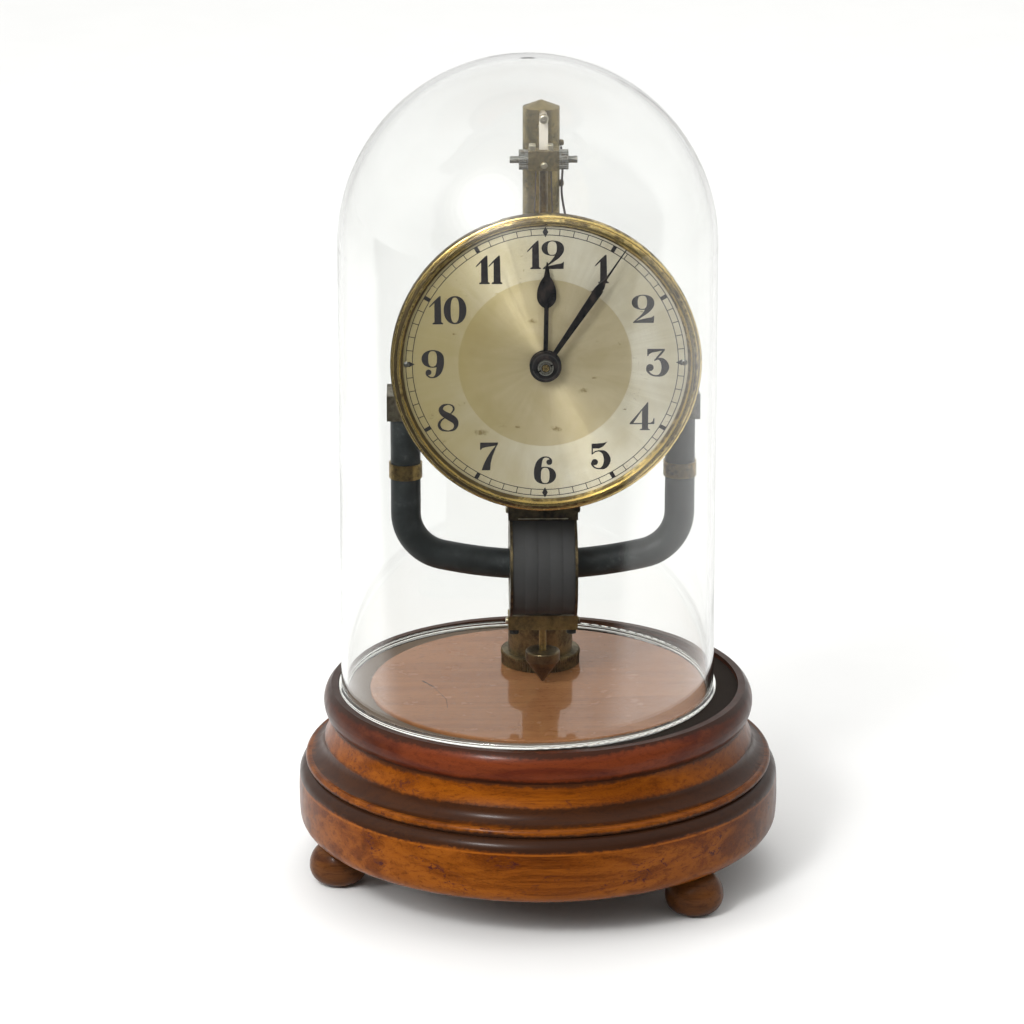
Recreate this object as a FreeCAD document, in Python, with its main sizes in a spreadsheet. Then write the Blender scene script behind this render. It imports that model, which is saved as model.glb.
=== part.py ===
import FreeCAD, Part, Sketcher
import os
from math import acos, asin, atan2, cos, pi, radians, sin, sqrt

# A battery clock under a glass bell jar, on a turned wooden base.
# Origin: centre of the base's outline, on the surface that the feet stand on.
# +Z is up, the dial faces -Y, +X is to the right as the dial is read. Millimetres.

DOC = FreeCAD.newDocument("BellJarClock")
SHEET = DOC.addObject("Spreadsheet::Sheet", "Sizes")
NODES = []


class Size:
    """A number together with the spreadsheet formula that gives it."""

    def __init__(self, value, text):
        self.value = float(value)
        self.text = text

    def __add__(self, other):
        other = as_size(other)
        return Size(self.value + other.value, f"({self.text} + {other.text})")

    def __sub__(self, other):
        other = as_size(other)
        return Size(self.value - other.value, f"({self.text} - {other.text})")

    def __mul__(self, other):
        other = as_size(other)
        return Size(self.value * other.value, f"({self.text} * {other.text})")

    def __truediv__(self, other):
        other = as_size(other)
        return Size(self.value / other.value, f"({self.text} / {other.text})")

    def __neg__(self):
        return Size(-self.value, f"(0 - {self.text})")

    def __radd__(self, other):
        return as_size(other) + self

    def __rsub__(self, other):
        return as_size(other) - self


def as_size(number):
    return number if isinstance(number, Size) else Size(number, repr(float(number)))


def number(size):
    return as_size(size).value


def size(name, value):
    """Write one driving dimension into the sheet and return it."""
    row = size.row = size.row + 1
    SHEET.set(f"A{row}", name.replace("_", " "))
    SHEET.set(f"B{row}", str(value))
    SHEET.setAlias(f"B{row}", name)
    return Size(value, f"Sizes.{name}")


size.row = 0

# ---------------------------------------------------------------- driving dimensions: base
foot_height = size("foot_height", 20.3)
foot_radius = size("foot_radius", 13.5)
foot_rest_radius = size("foot_rest_radius", 6.0)
foot_widest = size("foot_widest", 9.0)
foot_neck_radius = size("foot_neck_radius", 6.6)
foot_dowel_radius = size("foot_dowel_radius", 4.0)
foot_dowel_length = size("foot_dowel_length", 12.0)
foot_circle = size("foot_circle", 97.4)
foot_first_angle = size("foot_first_angle", 45.8)

drum_radius = size("drum_radius", 111.6)
drum_corner = size("drum_corner", 8.0)
drum_side_arc = size("drum_side_arc", 120.0)
drum_top = size("drum_top", 46.0)
ovolo_radius = size("ovolo_radius", 107.0)
ovolo_top = size("ovolo_top", 52.0)
bead_proud = size("bead_proud", 0.4)
bead_top = size("bead_top", 56.0)
cove_foot_radius = size("cove_foot_radius", 106.0)
cove_waist_radius = size("cove_waist_radius", 99.8)
cove_waist = size("cove_waist", 63.5)
cove_top_radius = size("cove_top_radius", 96.8)
cove_top = size("cove_top", 74.0)
rim_overhang = size("rim_overhang", 0.2)
rim_radius = size("rim_radius", 100.0)
rim_widest = size("rim_widest", 81.5)
rim_ridge_radius = size("rim_ridge_radius", 96.5)
rim_inner_radius = size("rim_inner_radius", 93.3)
rim_top = size("rim_top", 89.0)
groove_floor = size("groove_floor", 86.4)
felt_thickness = size("felt_thickness", 0.5)
platform_radius = size("platform_radius", 78.5)
platform_top = size("platform_top", 88.6)
platform_edge = size("platform_edge", 0.8)

hollow_length = size("hollow_length", 62.0)
hollow_width = size("hollow_width", 30.0)
hollow_top = size("hollow_top", 50.0)
cover_radius = size("cover_radius", 44.0)
cover_thickness = size("cover_thickness", 1.6)
cover_screw_circle = size("cover_screw_circle", 39.5)
cell_radius = size("cell_radius", 13.1)
cell_length = size("cell_length", 48.5)
cell_height = size("cell_height", 36.0)
cell_button = size("cell_button", 1.5)
cell_button_radius = size("cell_button_radius", 3.2)
contact_thickness = size("contact_thickness", 0.5)
contact_width = size("contact_width", 12.0)
contact_length = size("contact_length", 22.0)
lead_radius = size("lead_radius", 0.7)
lead_slot_left = size("lead_slot_left", 12.0)
lead_slot_length = size("lead_slot_length", 19.0)
lead_slot_height = size("lead_slot_height", 9.0)

# ---------------------------------------------------------------- driving dimensions: dome
dome_x = size("dome_x", -5.0)
dome_radius = size("dome_radius", 86.8)
dome_wall = size("dome_wall", 2.6)
dome_foot_radius = size("dome_foot_radius", 88.0)
dome_foot_height = size("dome_foot_height", 3.2)
dome_shoulder = size("dome_shoulder", 300.2)

# ---------------------------------------------------------------- driving dimensions: pillar
clock_x = size("clock_x", 2.0)
pillar_y = size("pillar_y", 31.2)
pillar_radius = size("pillar_radius", 8.55)
pillar_bore = size("pillar_bore", 7.2)
pillar_top = size("pillar_top", 357.0)
pillar_apex = size("pillar_apex", 360.5)
foot_ring_radius = size("foot_ring_radius", 18.5)
foot_ring_top = size("foot_ring_top", 95.0)
collar_radius = size("collar_radius", 15.2)
collar_top = size("collar_top", 110.0)
collar_seat = size("collar_seat", 99.0)
collar_edge = size("collar_edge", 1.5)
knurl_depth = size("knurl_depth", 0.5)
stud_radius = size("stud_radius", 4.0)
stud_bore = size("stud_bore", 2.2)
stud_bottom = size("stud_bottom", 34.0)
nut_seat = size("nut_seat", 44.0)
nut_recess_radius = size("nut_recess_radius", 9.6)
washer_radius = size("washer_radius", 8.8)
washer_thickness = size("washer_thickness", 1.2)
nut_radius = size("nut_radius", 6.3)
nut_thickness = size("nut_thickness", 5.0)
cap_plug = size("cap_plug", 3.0)

# ---------------------------------------------------------------- driving dimensions: pendulum
pendulum_y = size("pendulum_y", -2.0)
pivot_height = size("pivot_height", 359.5)
arm_height = size("arm_height", 349.5)
arm_radius = size("arm_radius", 1.7)
peg_radius = size("peg_radius", 1.2)
ribbon_width = size("ribbon_width", 4.0)
ribbon_thickness = size("ribbon_thickness", 0.5)
ribbon_bottom = size("ribbon_bottom", 342.6)
ribbon_slot_height = size("ribbon_slot_height", 5.0)
head_height = size("head_height", 340.1)
head_width = size("head_width", 14.0)
head_depth = size("head_depth", 8.0)
head_rise = size("head_rise", 9.0)
cross_pin_radius = size("cross_pin_radius", 1.6)
cross_pin_length = size("cross_pin_length", 30.6)
pin_collar_radius = size("pin_collar_radius", 4.6)
pin_collar_length = size("pin_collar_length", 4.2)
rod_radius = size("rod_radius", 1.9)
coil_height = size("coil_height", 147.1)
winding_radius = size("winding_radius", 23.2)
winding_length = size("winding_length", 28.6)
cheek_radius = size("cheek_radius", 23.8)
spool_length = size("spool_length", 31.0)
spool_bore = size("spool_bore", 9.2)
spool_wall = size("spool_wall", 0.9)
coil_bracket_length = size("coil_bracket_length", 32.2)
coil_bracket_depth = size("coil_bracket_depth", 10.0)
upper_bracket_top = size("upper_bracket_top", 176.9)
lower_bracket_bottom = size("lower_bracket_bottom", 117.0)
coil_screw_offset = size("coil_screw_offset", 13.3)
coil_screw_bottom = size("coil_screw_bottom", 114.0)
coil_screw_head_radius = size("coil_screw_head_radius", 2.2)
coil_screw_shank = size("coil_screw_shank", 4.0)
rating_rod_radius = size("rating_rod_radius", 1.7)
rating_nut_top = size("rating_nut_top", 105.6)
rating_nut_edge = size("rating_nut_edge", 101.0)
rating_nut_radius = size("rating_nut_radius", 8.0)
rating_tip = size("rating_tip", 90.3)
rating_nut_chamfer = size("rating_nut_chamfer", 0.8)

# ---------------------------------------------------------------- driving dimensions: magnet
magnet_radius = size("magnet_radius", 6.9)
magnet_height = size("magnet_height", 147.5)
magnet_leg = size("magnet_leg", 63.2)
magnet_bend = size("magnet_bend", 21.0)
band_radius = size("band_radius", 7.7)
band_bottom = size("band_bottom", 190.6)
band_top = size("band_top", 197.6)
clamp_bottom = size("clamp_bottom", 219.6)
clamp_top = size("clamp_top", 231.6)
clamp_half = size("clamp_half", 8.4)
bracket_front = size("bracket_front", 10.0)
bracket_back = size("bracket_back", 14.0)
bracket_collar = size("bracket_collar", 13.0)

# ---------------------------------------------------------------- driving dimensions: dial and hands
dial_height = size("dial_height", 252.5)
dial_face = size("dial_face", -30.0)
dial_radius = size("dial_radius", 65.0)
dial_thickness = size("dial_thickness", 0.8)
backing_radius = size("backing_radius", 66.5)
backing_thickness = size("backing_thickness", 1.2)
dial_hole = size("dial_hole", 3.4)
bezel_radius = size("bezel_radius", 69.6)
bezel_opening = size("bezel_opening", 64.0)
bezel_front = size("bezel_front", 3.4)
hand_thickness = size("hand_thickness", 0.6)
hand_boss = size("hand_boss", 7.2)
hour_hand_front = size("hour_hand_front", 3.4)
minute_hand_front = size("minute_hand_front", 6.0)
hour_hand_length = size("hour_hand_length", 47.9)
minute_hand_length = size("minute_hand_length", 65.0)
hour_hand_angle = size("hour_hand_angle", 0.9)
minute_hand_angle = size("minute_hand_angle", 33.6)
hand_nut_radius = size("hand_nut_radius", 3.55)
hand_nut_front = size("hand_nut_front", 8.0)

# ---------------------------------------------------------------- driving dimensions: movement
plate_radius = size("plate_radius", 34.0)
plate_drop = size("plate_drop", 13.0)
plate_thickness = size("plate_thickness", 1.5)
front_plate_y = size("front_plate_y", -22.5)
back_plate_y = size("back_plate_y", -10.5)
post_radius = size("post_radius", 2.5)
post_offset = size("post_offset", 20.5)
dial_foot_radius = size("dial_foot_radius", 1.8)
dial_foot_circle = size("dial_foot_circle", 28.5)
arbor_radius = size("arbor_radius", 0.8)
running_gap = size("running_gap", 0.06)
train_module = size("train_module", 0.4)
train_wheel_teeth = size("train_wheel_teeth", 80)
train_pinion_teeth = size("train_pinion_teeth", 8)
train_angle = size("train_angle", 35.0)
cannon_module = size("cannon_module", 0.6)
cannon_teeth = size("cannon_teeth", 12)
minute_wheel_teeth = size("minute_wheel_teeth", 36)
hour_module = size("hour_module", 0.576)
minute_pinion_teeth = size("minute_pinion_teeth", 10)
hour_wheel_teeth = size("hour_wheel_teeth", 40)
minute_wheel_angle = size("minute_wheel_angle", 250.0)
ratchet_teeth = size("ratchet_teeth", 40)
ratchet_radius = size("ratchet_radius", 9.0)
ratchet_depth = size("ratchet_depth", 0.9)
fork_pin_arm = size("fork_pin_arm", 25.0)
fork_slot = size("fork_slot", 1.15)
contact_pin_radius = size("contact_pin_radius", 0.8)
pawl_circle = size("pawl_circle", 13.5)
pawl_angle = size("pawl_angle", -50.0)
bracket_bar_height = size("bracket_bar_height", 266.0)
bracket_post_offset = size("bracket_post_offset", 16.0)
screw_head_radius = size("screw_head_radius", 2.6)
screw_shank_radius = size("screw_shank_radius", 1.2)
screw_head_height = size("screw_head_height", 1.6)
screw_slot_width = size("screw_slot_width", 0.7)
screw_slot_depth = size("screw_slot_depth", 0.7)
screw_slot_length = size("screw_slot_length", 8.0)

DOC.recompute()

UP = FreeCAD.Rotation()
FRONT = FreeCAD.Rotation(FreeCAD.Vector(1, 0, 0), 90)    # local z points to the viewer, local y up
RIGHT = FreeCAD.Rotation(FreeCAD.Vector(0, 1, 0), 90)    # local z points to the right
Z_AXIS = FreeCAD.Vector(0, 0, 1)


# ---------------------------------------------------------------- helpers
def bind(item, name, value):
    """Set a property, by its spreadsheet formula where it has one."""
    if isinstance(value, Size):
        item.setExpression(name, value.text)
    else:
        setattr(item, name, value)


def place(item, x=0.0, y=0.0, z=0.0, rotation=UP, clockwise=0.0):
    """Put an object at a point; `clockwise` turns it about its own z axis as seen from its front."""
    turn = FreeCAD.Rotation(Z_AXIS, -number(clockwise))
    point = FreeCAD.Vector(number(x), number(y), number(z))
    item.Placement = FreeCAD.Placement(point, rotation.multiply(turn))
    for axis, value in (("x", x), ("y", y), ("z", z)):
        if isinstance(value, Size):
            item.setExpression(f"Placement.Base.{axis}", value.text)
    return item


def keep(name, item):
    """Name an object as one of the clock's separate pieces."""
    item.Label = name
    NODES.append(item)
    return item


def cylinder(radius, length, x=0.0, y=0.0, z=0.0, rotation=UP):
    item = DOC.addObject("Part::Cylinder", "Round")
    bind(item, "Radius", radius)
    bind(item, "Height", length)
    return place(item, x, y, z, rotation)


def box(length, width, height, x=0.0, y=0.0, z=0.0, rotation=UP, clockwise=0.0):
    """A block whose lowest corner stands at the point."""
    item = DOC.addObject("Part::Box", "Block")
    bind(item, "Length", length)
    bind(item, "Width", width)
    bind(item, "Height", height)
    return place(item, x, y, z, rotation, clockwise)


def prism(sides, circumradius, length, x=0.0, y=0.0, z=0.0, rotation=UP):
    item = DOC.addObject("Part::Prism", "Prism")
    item.Polygon = sides
    bind(item, "Circumradius", circumradius)
    bind(item, "Height", length)
    return place(item, x, y, z, rotation)


def cut(base, *tools):
    item = DOC.addObject("Part::Cut", "Cut")
    item.Base = base
    item.Tool = tools[0] if len(tools) == 1 else fuse(*tools)
    return item


def fuse(*members):
    item = DOC.addObject("Part::MultiFuse", "Joined")
    item.Shapes = list(members)
    item.Refine = True
    return item


def group(*members):
    item = DOC.addObject("Part::Compound", "Group")
    item.Links = list(members)
    return item


def solid(shape, x=0.0, y=0.0, z=0.0, rotation=UP, clockwise=0.0):
    item = DOC.addObject("Part::Feature", "Form")
    item.Shape = shape
    return place(item, x, y, z, rotation, clockwise)


def body():
    return DOC.addObject("PartDesign::Body", "Body")


def new_sketch(owner, plane_role):
    sketch = owner.newObject("Sketcher::SketchObject", "Sketch")
    plane = [item for item in owner.Origin.OriginFeatures if item.Role == plane_role][0]
    sketch.AttachmentSupport = (plane, [""])
    sketch.MapMode = "FlatFace"
    return sketch


def fix_point(sketch, curve, end, x, y):
    """Hold one end of a sketch curve at a distance from the sketch's origin."""
    for kind, value, axis in (("DistanceX", x, -2), ("DistanceY", y, -1)):
        if abs(number(value)) < 1e-9:
            sketch.addConstraint(Sketcher.Constraint("PointOnObject", curve, end, axis))
            continue
        index = sketch.addConstraint(Sketcher.Constraint(kind, -1, 1, curve, end, number(value)))
        if isinstance(value, Size):
            sketch.setExpression(f"Constraints[{index}]", value.text)


def fix_radius(sketch, curve, radius):
    index = sketch.addConstraint(Sketcher.Constraint("Radius", curve, number(radius)))
    if isinstance(radius, Size):
        sketch.setExpression(f"Constraints[{index}]", radius.text)


def arc_between(start, stop, radius, side):
    """The short arc between two points, its centre to the left (1) or right (-1) of the way."""
    chord = stop - start
    half = chord.Length / 2
    normal = FreeCAD.Vector(-chord.y, chord.x, 0) / chord.Length
    centre = (start + stop) / 2 + normal * side * sqrt(radius * radius - half * half)
    first, last = (start, stop) if side > 0 else (stop, start)
    begin = atan2(first.y - centre.y, first.x - centre.x)
    finish = atan2(last.y - centre.y, last.x - centre.x)
    if finish < begin:
        finish += 2 * pi
    return Part.ArcOfCircle(Part.Circle(centre, Z_AXIS, radius), begin, finish)


def draw_outline(sketch, corners):
    """Draw a closed outline. A corner is (x, y), or (x, y, radius, side) where an arc leaves it."""
    first = sketch.GeometryCount
    ends = []
    for index, corner in enumerate(corners):
        following = corners[(index + 1) % len(corners)]
        start = FreeCAD.Vector(number(corner[0]), number(corner[1]), 0)
        stop = FreeCAD.Vector(number(following[0]), number(following[1]), 0)
        if len(corner) == 2:
            sketch.addGeometry(Part.LineSegment(start, stop), False)
            ends.append((1, 2))
        else:
            sketch.addGeometry(arc_between(start, stop, number(corner[2]), corner[3]), False)
            ends.append((1, 2) if corner[3] > 0 else (2, 1))
    for index, corner in enumerate(corners):
        curve = first + index
        before = first + (index - 1) % len(corners)
        joint = (before, ends[index - 1][1], curve, ends[index][0])
        sketch.addConstraint(Sketcher.Constraint("Coincident", *joint))
        fix_point(sketch, curve, ends[index][0], corner[0], corner[1])
        if len(corner) > 2:
            fix_radius(sketch, curve, corner[2])


def draw_circle(sketch, x, y, radius):
    centre = FreeCAD.Vector(number(x), number(y), 0)
    curve = sketch.addGeometry(Part.Circle(centre, Z_AXIS, number(radius)), False)
    fix_point(sketch, curve, 3, x, y)
    fix_radius(sketch, curve, radius)


def turned(corners, x=0.0, y=0.0, z=0.0, rotation=UP):
    """A piece turned on a lathe: the outline's first number is the radius, its second the height."""
    owner = body()
    sketch = new_sketch(owner, "XZ_Plane")
    draw_outline(sketch, corners)
    turning = owner.newObject("PartDesign::Revolution", "Turning")
    turning.Profile = sketch
    turning.ReferenceAxis = (sketch, ["V_Axis"])
    turning.Angle = 360
    return place(owner, x, y, z, rotation)


def plate(outlines, circles, thickness, x=0.0, y=0.0, z=0.0, rotation=UP, clockwise=0.0):
    """A flat piece cut from sheet: outlines and circles in its own plane, padded to its thickness."""
    owner = body()
    sketch = new_sketch(owner, "XY_Plane")
    for corners in outlines:
        draw_outline(sketch, corners)
    for circle in circles:
        draw_circle(sketch, *circle)
    pad = owner.newObject("PartDesign::Pad", "Pad")
    pad.Profile = sketch
    bind(pad, "Length", thickness)
    return place(owner, x, y, z, rotation, clockwise)


def bulge_radius(across, along):
    """Radius of the arc that leaves a widest point square to it and comes in by `across`."""
    return (across * across + along * along) / (across * 2)


def toothed_face(count, tip, root, tip_share, root_share, holes=(), lean=0.0):
    """Flat wheel with one tooth straight up. Shares are tooth widths as a part of the pitch."""
    half_pitch = pi / count
    points = []
    for tooth in range(count):
        middle = 2 * half_pitch * tooth
        corners = ((root, -root_share), (tip, lean - tip_share), (tip, lean + tip_share), (root, root_share))
        for radius, share in corners:
            angle = middle + share * half_pitch
            points.append(FreeCAD.Vector(radius * sin(angle), radius * cos(angle), 0))
    wires = [Part.makePolygon(points + points[:1])]
    for x, y, radius in holes:
        wires.append(Part.Wire(Part.makeCircle(radius, FreeCAD.Vector(x, y, 0))))
    return Part.Face(wires, "Part::FaceMakerBullseye")


def gear(count, module, face_width, height, bore, windows=0, window_circle=0.0, window=0.0, leaf=False):
    """Spur gear with narrow straight-sided teeth that leave backlash in mesh."""
    pitch = module * count / 2
    tip = pitch + module * (0.8 if leaf else 0.65)
    root = pitch - module * 1.15
    holes = [(0, 0, bore)] if bore else []
    for spoke in range(windows):
        angle = 2 * pi * (spoke + 0.5) / windows
        holes.append((window_circle * sin(angle), window_circle * cos(angle), window))
    face = toothed_face(count, tip, root, 0.2, 0.6, holes)
    shape = face.extrude(FreeCAD.Vector(0, 0, face_width))
    shape.translate(FreeCAD.Vector(0, 0, height))
    return shape


def rod(radius, bottom, top):
    return Part.makeCylinder(radius, top - bottom, FreeCAD.Vector(0, 0, bottom))


def pipe(points, radius, bends):
    """Round wire along straight runs joined by tangent arcs."""
    edges = []
    here = points[0]
    for before, corner, after, bend in zip(points, points[1:], points[2:], bends):
        into = (corner - before).normalize()
        out = (after - corner).normalize()
        half_turn = acos(into.dot(out)) / 2
        back = bend * sin(half_turn) / cos(half_turn)
        start = corner - into * back
        stop = corner + out * back
        inward = (out - into).normalize()
        middle = corner + inward * (bend / cos(half_turn) - bend)
        edges.append(Part.LineSegment(here, start).toShape())
        edges.append(Part.Arc(start, middle, stop).toShape())
        here = stop
    edges.append(Part.LineSegment(here, points[-1]).toShape())
    return sweep(edges, radius, points[0], points[1] - points[0])


def sweep(edges, radius, start, direction):
    spine = Part.Wire(edges)
    section = Part.Wire(Part.makeCircle(radius, start, direction))
    return spine.makePipeShell([section], True, True)


# ---------------------------------------------------------------- base
def bun_foot(name, angle):
    """Squashed ball with a flat to stand on and a dowel that is glued into the drum."""
    low = bulge_radius(foot_radius - foot_rest_radius, foot_widest)
    high = bulge_radius(foot_radius - foot_neck_radius, foot_height - foot_widest)
    corners = [
        (0, 0),
        (foot_rest_radius, 0, low, 1),
        (foot_radius, foot_widest, high, 1),
        (foot_neck_radius, foot_height),
        (foot_dowel_radius, foot_height),
        (foot_dowel_radius, foot_height + foot_dowel_length),
        (0, foot_height + foot_dowel_length),
    ]
    return keep(name, turned(corners, *on_foot_circle(angle)))


def on_foot_circle(angle):
    """Place on the feet's circle; the angle is turned from the front towards the right."""
    here = radians(angle)
    return number(foot_circle) * sin(here), -number(foot_circle) * cos(here)


def make_base():
    foot_angles = [foot_first_angle.value + 120 * step for step in range(3)]
    dowels = []
    for name, angle in zip(("foot_right", "foot_back", "foot_left"), foot_angles):
        bun_foot(name, angle)
        dowels.append(cylinder(foot_dowel_radius, foot_dowel_length, *on_foot_circle(angle), foot_height))

    bead_fullness = 0.55
    drum = turned([
        (0, foot_height),
        (drum_radius - drum_corner, foot_height, drum_corner, 1),
        (drum_radius, foot_height + drum_corner, drum_side_arc, 1),
        (drum_radius, drum_top, bulge_radius(drum_radius - ovolo_radius, ovolo_top - drum_top), 1),
        (ovolo_radius, ovolo_top),
        (ovolo_radius + bead_proud, ovolo_top, (bead_top - ovolo_top) * bead_fullness, 1),
        (ovolo_radius + bead_proud, bead_top),
        (0, bead_top),
    ])
    hollow = box(hollow_length, hollow_width, hollow_top - foot_height,
                 -(hollow_length / 2), -(hollow_width / 2), foot_height)
    cover_recess = cylinder(cover_radius, cover_thickness, 0, 0, foot_height)
    nut_recess = cylinder(nut_recess_radius, nut_seat - foot_height, clock_x, pillar_y, foot_height)
    slot_overlap = 1.0
    lead_slot = box(lead_slot_length, pillar_y - slot_overlap * 2 - hollow_width / 2, lead_slot_height,
                    clock_x - lead_slot_left, hollow_width / 2 - slot_overlap, foot_height + cover_thickness)
    stud_hole = cylinder(stud_radius, bead_top - nut_seat, clock_x, pillar_y, nut_seat)
    keep("plinth_drum", cut(drum, hollow, cover_recess, nut_recess, lead_slot, stud_hole, *dowels))

    upper_sweep = 2.6
    cove = turned([
        (0, bead_top),
        (cove_foot_radius, bead_top, cove_waist - bead_top, -1),
        (cove_waist_radius, cove_waist, (cove_top - cove_waist) * upper_sweep, -1),
        (cove_top_radius, cove_top),
        (0, cove_top),
    ])
    stud_hole = cylinder(stud_radius, cove_top - bead_top, clock_x, pillar_y, bead_top)
    keep("cove_moulding", cut(cove, stud_hole))

    keep("rim_ring", turned([
        (platform_radius, cove_top),
        (cove_top_radius + rim_overhang, cove_top,
         bulge_radius(rim_radius - cove_top_radius - rim_overhang, rim_widest - cove_top), 1),
        (rim_radius, rim_widest, bulge_radius(rim_radius - rim_ridge_radius, rim_top - rim_widest), 1),
        (rim_ridge_radius, rim_top),
        (rim_inner_radius, rim_top),
        (rim_inner_radius, groove_floor),
        (platform_radius, groove_floor),
    ]))
    keep("dome_seat_felt", turned([
        (platform_radius, groove_floor),
        (rim_inner_radius, groove_floor),
        (rim_inner_radius, groove_floor + felt_thickness),
        (platform_radius, groove_floor + felt_thickness),
    ]))
    disc = turned([
        (0, cove_top),
        (platform_radius, cove_top),
        (platform_radius, platform_top - platform_edge, platform_edge, 1),
        (platform_radius - platform_edge, platform_top),
        (0, platform_top),
    ])
    stud_hole = cylinder(stud_radius, platform_top - cove_top, clock_x, pillar_y, cove_top)
    keep("platform_disc", cut(disc, stud_hole))


def make_battery():
    circle = number(cover_screw_circle)
    screw_places = [(circle * sin(radians(angle)), circle * cos(radians(angle))) for angle in (90, 210, 330)]
    holes = [cylinder(screw_shank_radius, cover_thickness, x, y, foot_height) for x, y in screw_places]
    keep("base_cover", cut(cylinder(cover_radius, cover_thickness, 0, 0, foot_height), *holes))
    screws = []
    for x, y in screw_places:
        head = cylinder(screw_head_radius, screw_head_height, x, y, foot_height - screw_head_height)
        slot = box(screw_slot_length, screw_slot_width, screw_slot_depth, x - screw_slot_length / 2,
                   y - screw_slot_width / 2, foot_height - screw_head_height)
        stem = cylinder(screw_shank_radius, cover_thickness, x, y, foot_height)
        screws.append(cut(fuse(head, stem), slot))
    keep("cover_screws", group(*screws))

    cell_left = -(cell_length / 2) - cell_button / 2
    can = cylinder(cell_radius, cell_length, cell_left, 0, cell_height, RIGHT)
    button = cylinder(cell_button_radius, cell_button, cell_left + cell_length, 0, cell_height, RIGHT)
    keep("battery_cell", fuse(can, button))

    def strip(x):
        return box(contact_thickness, contact_width, contact_length, x, -(contact_width / 2),
                   cell_height - contact_length / 2)

    left_strip = strip(cell_left - contact_thickness)
    right_strip = strip(cell_left + cell_length + cell_button)
    keep("battery_contacts", group(left_strip, right_strip))

    off_wall = 2.2
    off_cover = 3.0
    apart = 2.0
    earth_side = 7.4
    earth_front = 2.6
    rear = number(hollow_width) / 2 - off_wall
    low = number(foot_height) + number(cover_thickness) + off_cover
    end = number(cell_left)
    x0 = number(clock_x)
    stud_y = number(pillar_y)
    under_arm = number(arm_height) - number(arm_radius)
    feed_x = -end + 1.2
    feed = [
        FreeCAD.Vector(feed_x, apart, low),
        FreeCAD.Vector(feed_x, rear, low),
        FreeCAD.Vector(x0, rear, low),
        FreeCAD.Vector(x0, stud_y, low),
        FreeCAD.Vector(x0, stud_y, under_arm),
    ]
    from_x = end - 1.6
    to_x = x0 - earth_side
    to_y = stud_y - earth_front
    high = low + apart
    earth = [
        FreeCAD.Vector(from_x, apart, high),
        FreeCAD.Vector(from_x, rear, high),
        FreeCAD.Vector(to_x, rear, high),
        FreeCAD.Vector(to_x, to_y, high),
        FreeCAD.Vector(to_x, to_y, number(nut_seat) - number(washer_thickness)),
    ]
    wires = [solid(pipe(route, number(lead_radius), (3.5, 5.0, 5.0))) for route in (feed, earth)]
    keep("battery_leads", group(*wires))


# ---------------------------------------------------------------- pillar
def make_pillar():
    stud = cut(cylinder(stud_radius, collar_seat - stud_bottom, clock_x, pillar_y, stud_bottom),
               cylinder(stud_bore, collar_seat - stud_bottom, clock_x, pillar_y, stud_bottom))
    keep("pillar_stud", stud)
    washer = cut(cylinder(washer_radius, washer_thickness, clock_x, pillar_y, nut_seat - washer_thickness),
                 cylinder(stud_radius, washer_thickness, clock_x, pillar_y, nut_seat - washer_thickness))
    nut_bottom = nut_seat - washer_thickness - nut_thickness
    nut = cut(prism(6, nut_radius, nut_thickness, clock_x, pillar_y, nut_bottom),
              cylinder(stud_radius, nut_thickness, clock_x, pillar_y, nut_bottom))
    keep("pillar_nut", group(washer, nut))

    ring_tip = number(foot_ring_radius)
    ring_face = toothed_face(90, ring_tip, ring_tip - number(knurl_depth), 0.2, 0.8,
                             [(0, 0, number(stud_radius))])
    knurl_height = number(foot_ring_top) - number(platform_top)
    ring = solid(ring_face.extrude(FreeCAD.Vector(0, 0, knurl_height)), clock_x, pillar_y, platform_top)
    keep("pillar_foot_ring", ring)

    collar = turned([
        (stud_radius, foot_ring_top),
        (collar_radius, foot_ring_top),
        (collar_radius, collar_top - collar_edge, collar_edge, 1),
        (collar_radius - collar_edge, collar_top),
        (pillar_radius, collar_top),
        (pillar_radius, collar_seat),
        (stud_radius, collar_seat),
    ], clock_x, pillar_y)
    keep("pillar_collar", collar)

    tube = turned([
        (pillar_bore, collar_seat),
        (pillar_radius, collar_seat),
        (pillar_radius, pillar_top),
        (pillar_bore, pillar_top),
    ], clock_x, pillar_y)
    arm_hole = cylinder(arm_radius, pillar_radius, clock_x, pillar_y, arm_height, FRONT)
    keep("pillar_tube", cut(tube, arm_hole))
    keep("pillar_cap", turned([
        (0, pillar_top - cap_plug),
        (pillar_bore, pillar_top - cap_plug),
        (pillar_bore, pillar_top),
        (pillar_radius, pillar_top),
        (0, pillar_apex),
    ], clock_x, pillar_y))


def make_suspension_arm():
    """Bent arm from inside the tube to a peg that the ribbon's eye hangs on."""
    shoulder = 1.4
    peg_reach = 1.8
    head_length = 1.2
    lift = pivot_height.value - arm_height.value
    route = [
        FreeCAD.Vector(0, pillar_y.value, 0),
        FreeCAD.Vector(0, pendulum_y.value + 14.0, 0),
        FreeCAD.Vector(0, pendulum_y.value + 9.0, lift),
        FreeCAD.Vector(0, pendulum_y.value + shoulder, lift),
    ]
    arm = solid(pipe(route, arm_radius.value, (4.5, 4.5)), clock_x, 0, arm_height)
    peg = cylinder(peg_radius, peg_reach + shoulder, clock_x, pendulum_y + shoulder, pivot_height, FRONT)
    head = cylinder(arm_radius * 1.3, head_length, clock_x, pendulum_y - peg_reach, pivot_height, FRONT)
    keep("suspension_arm", fuse(arm, peg, head))


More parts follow.
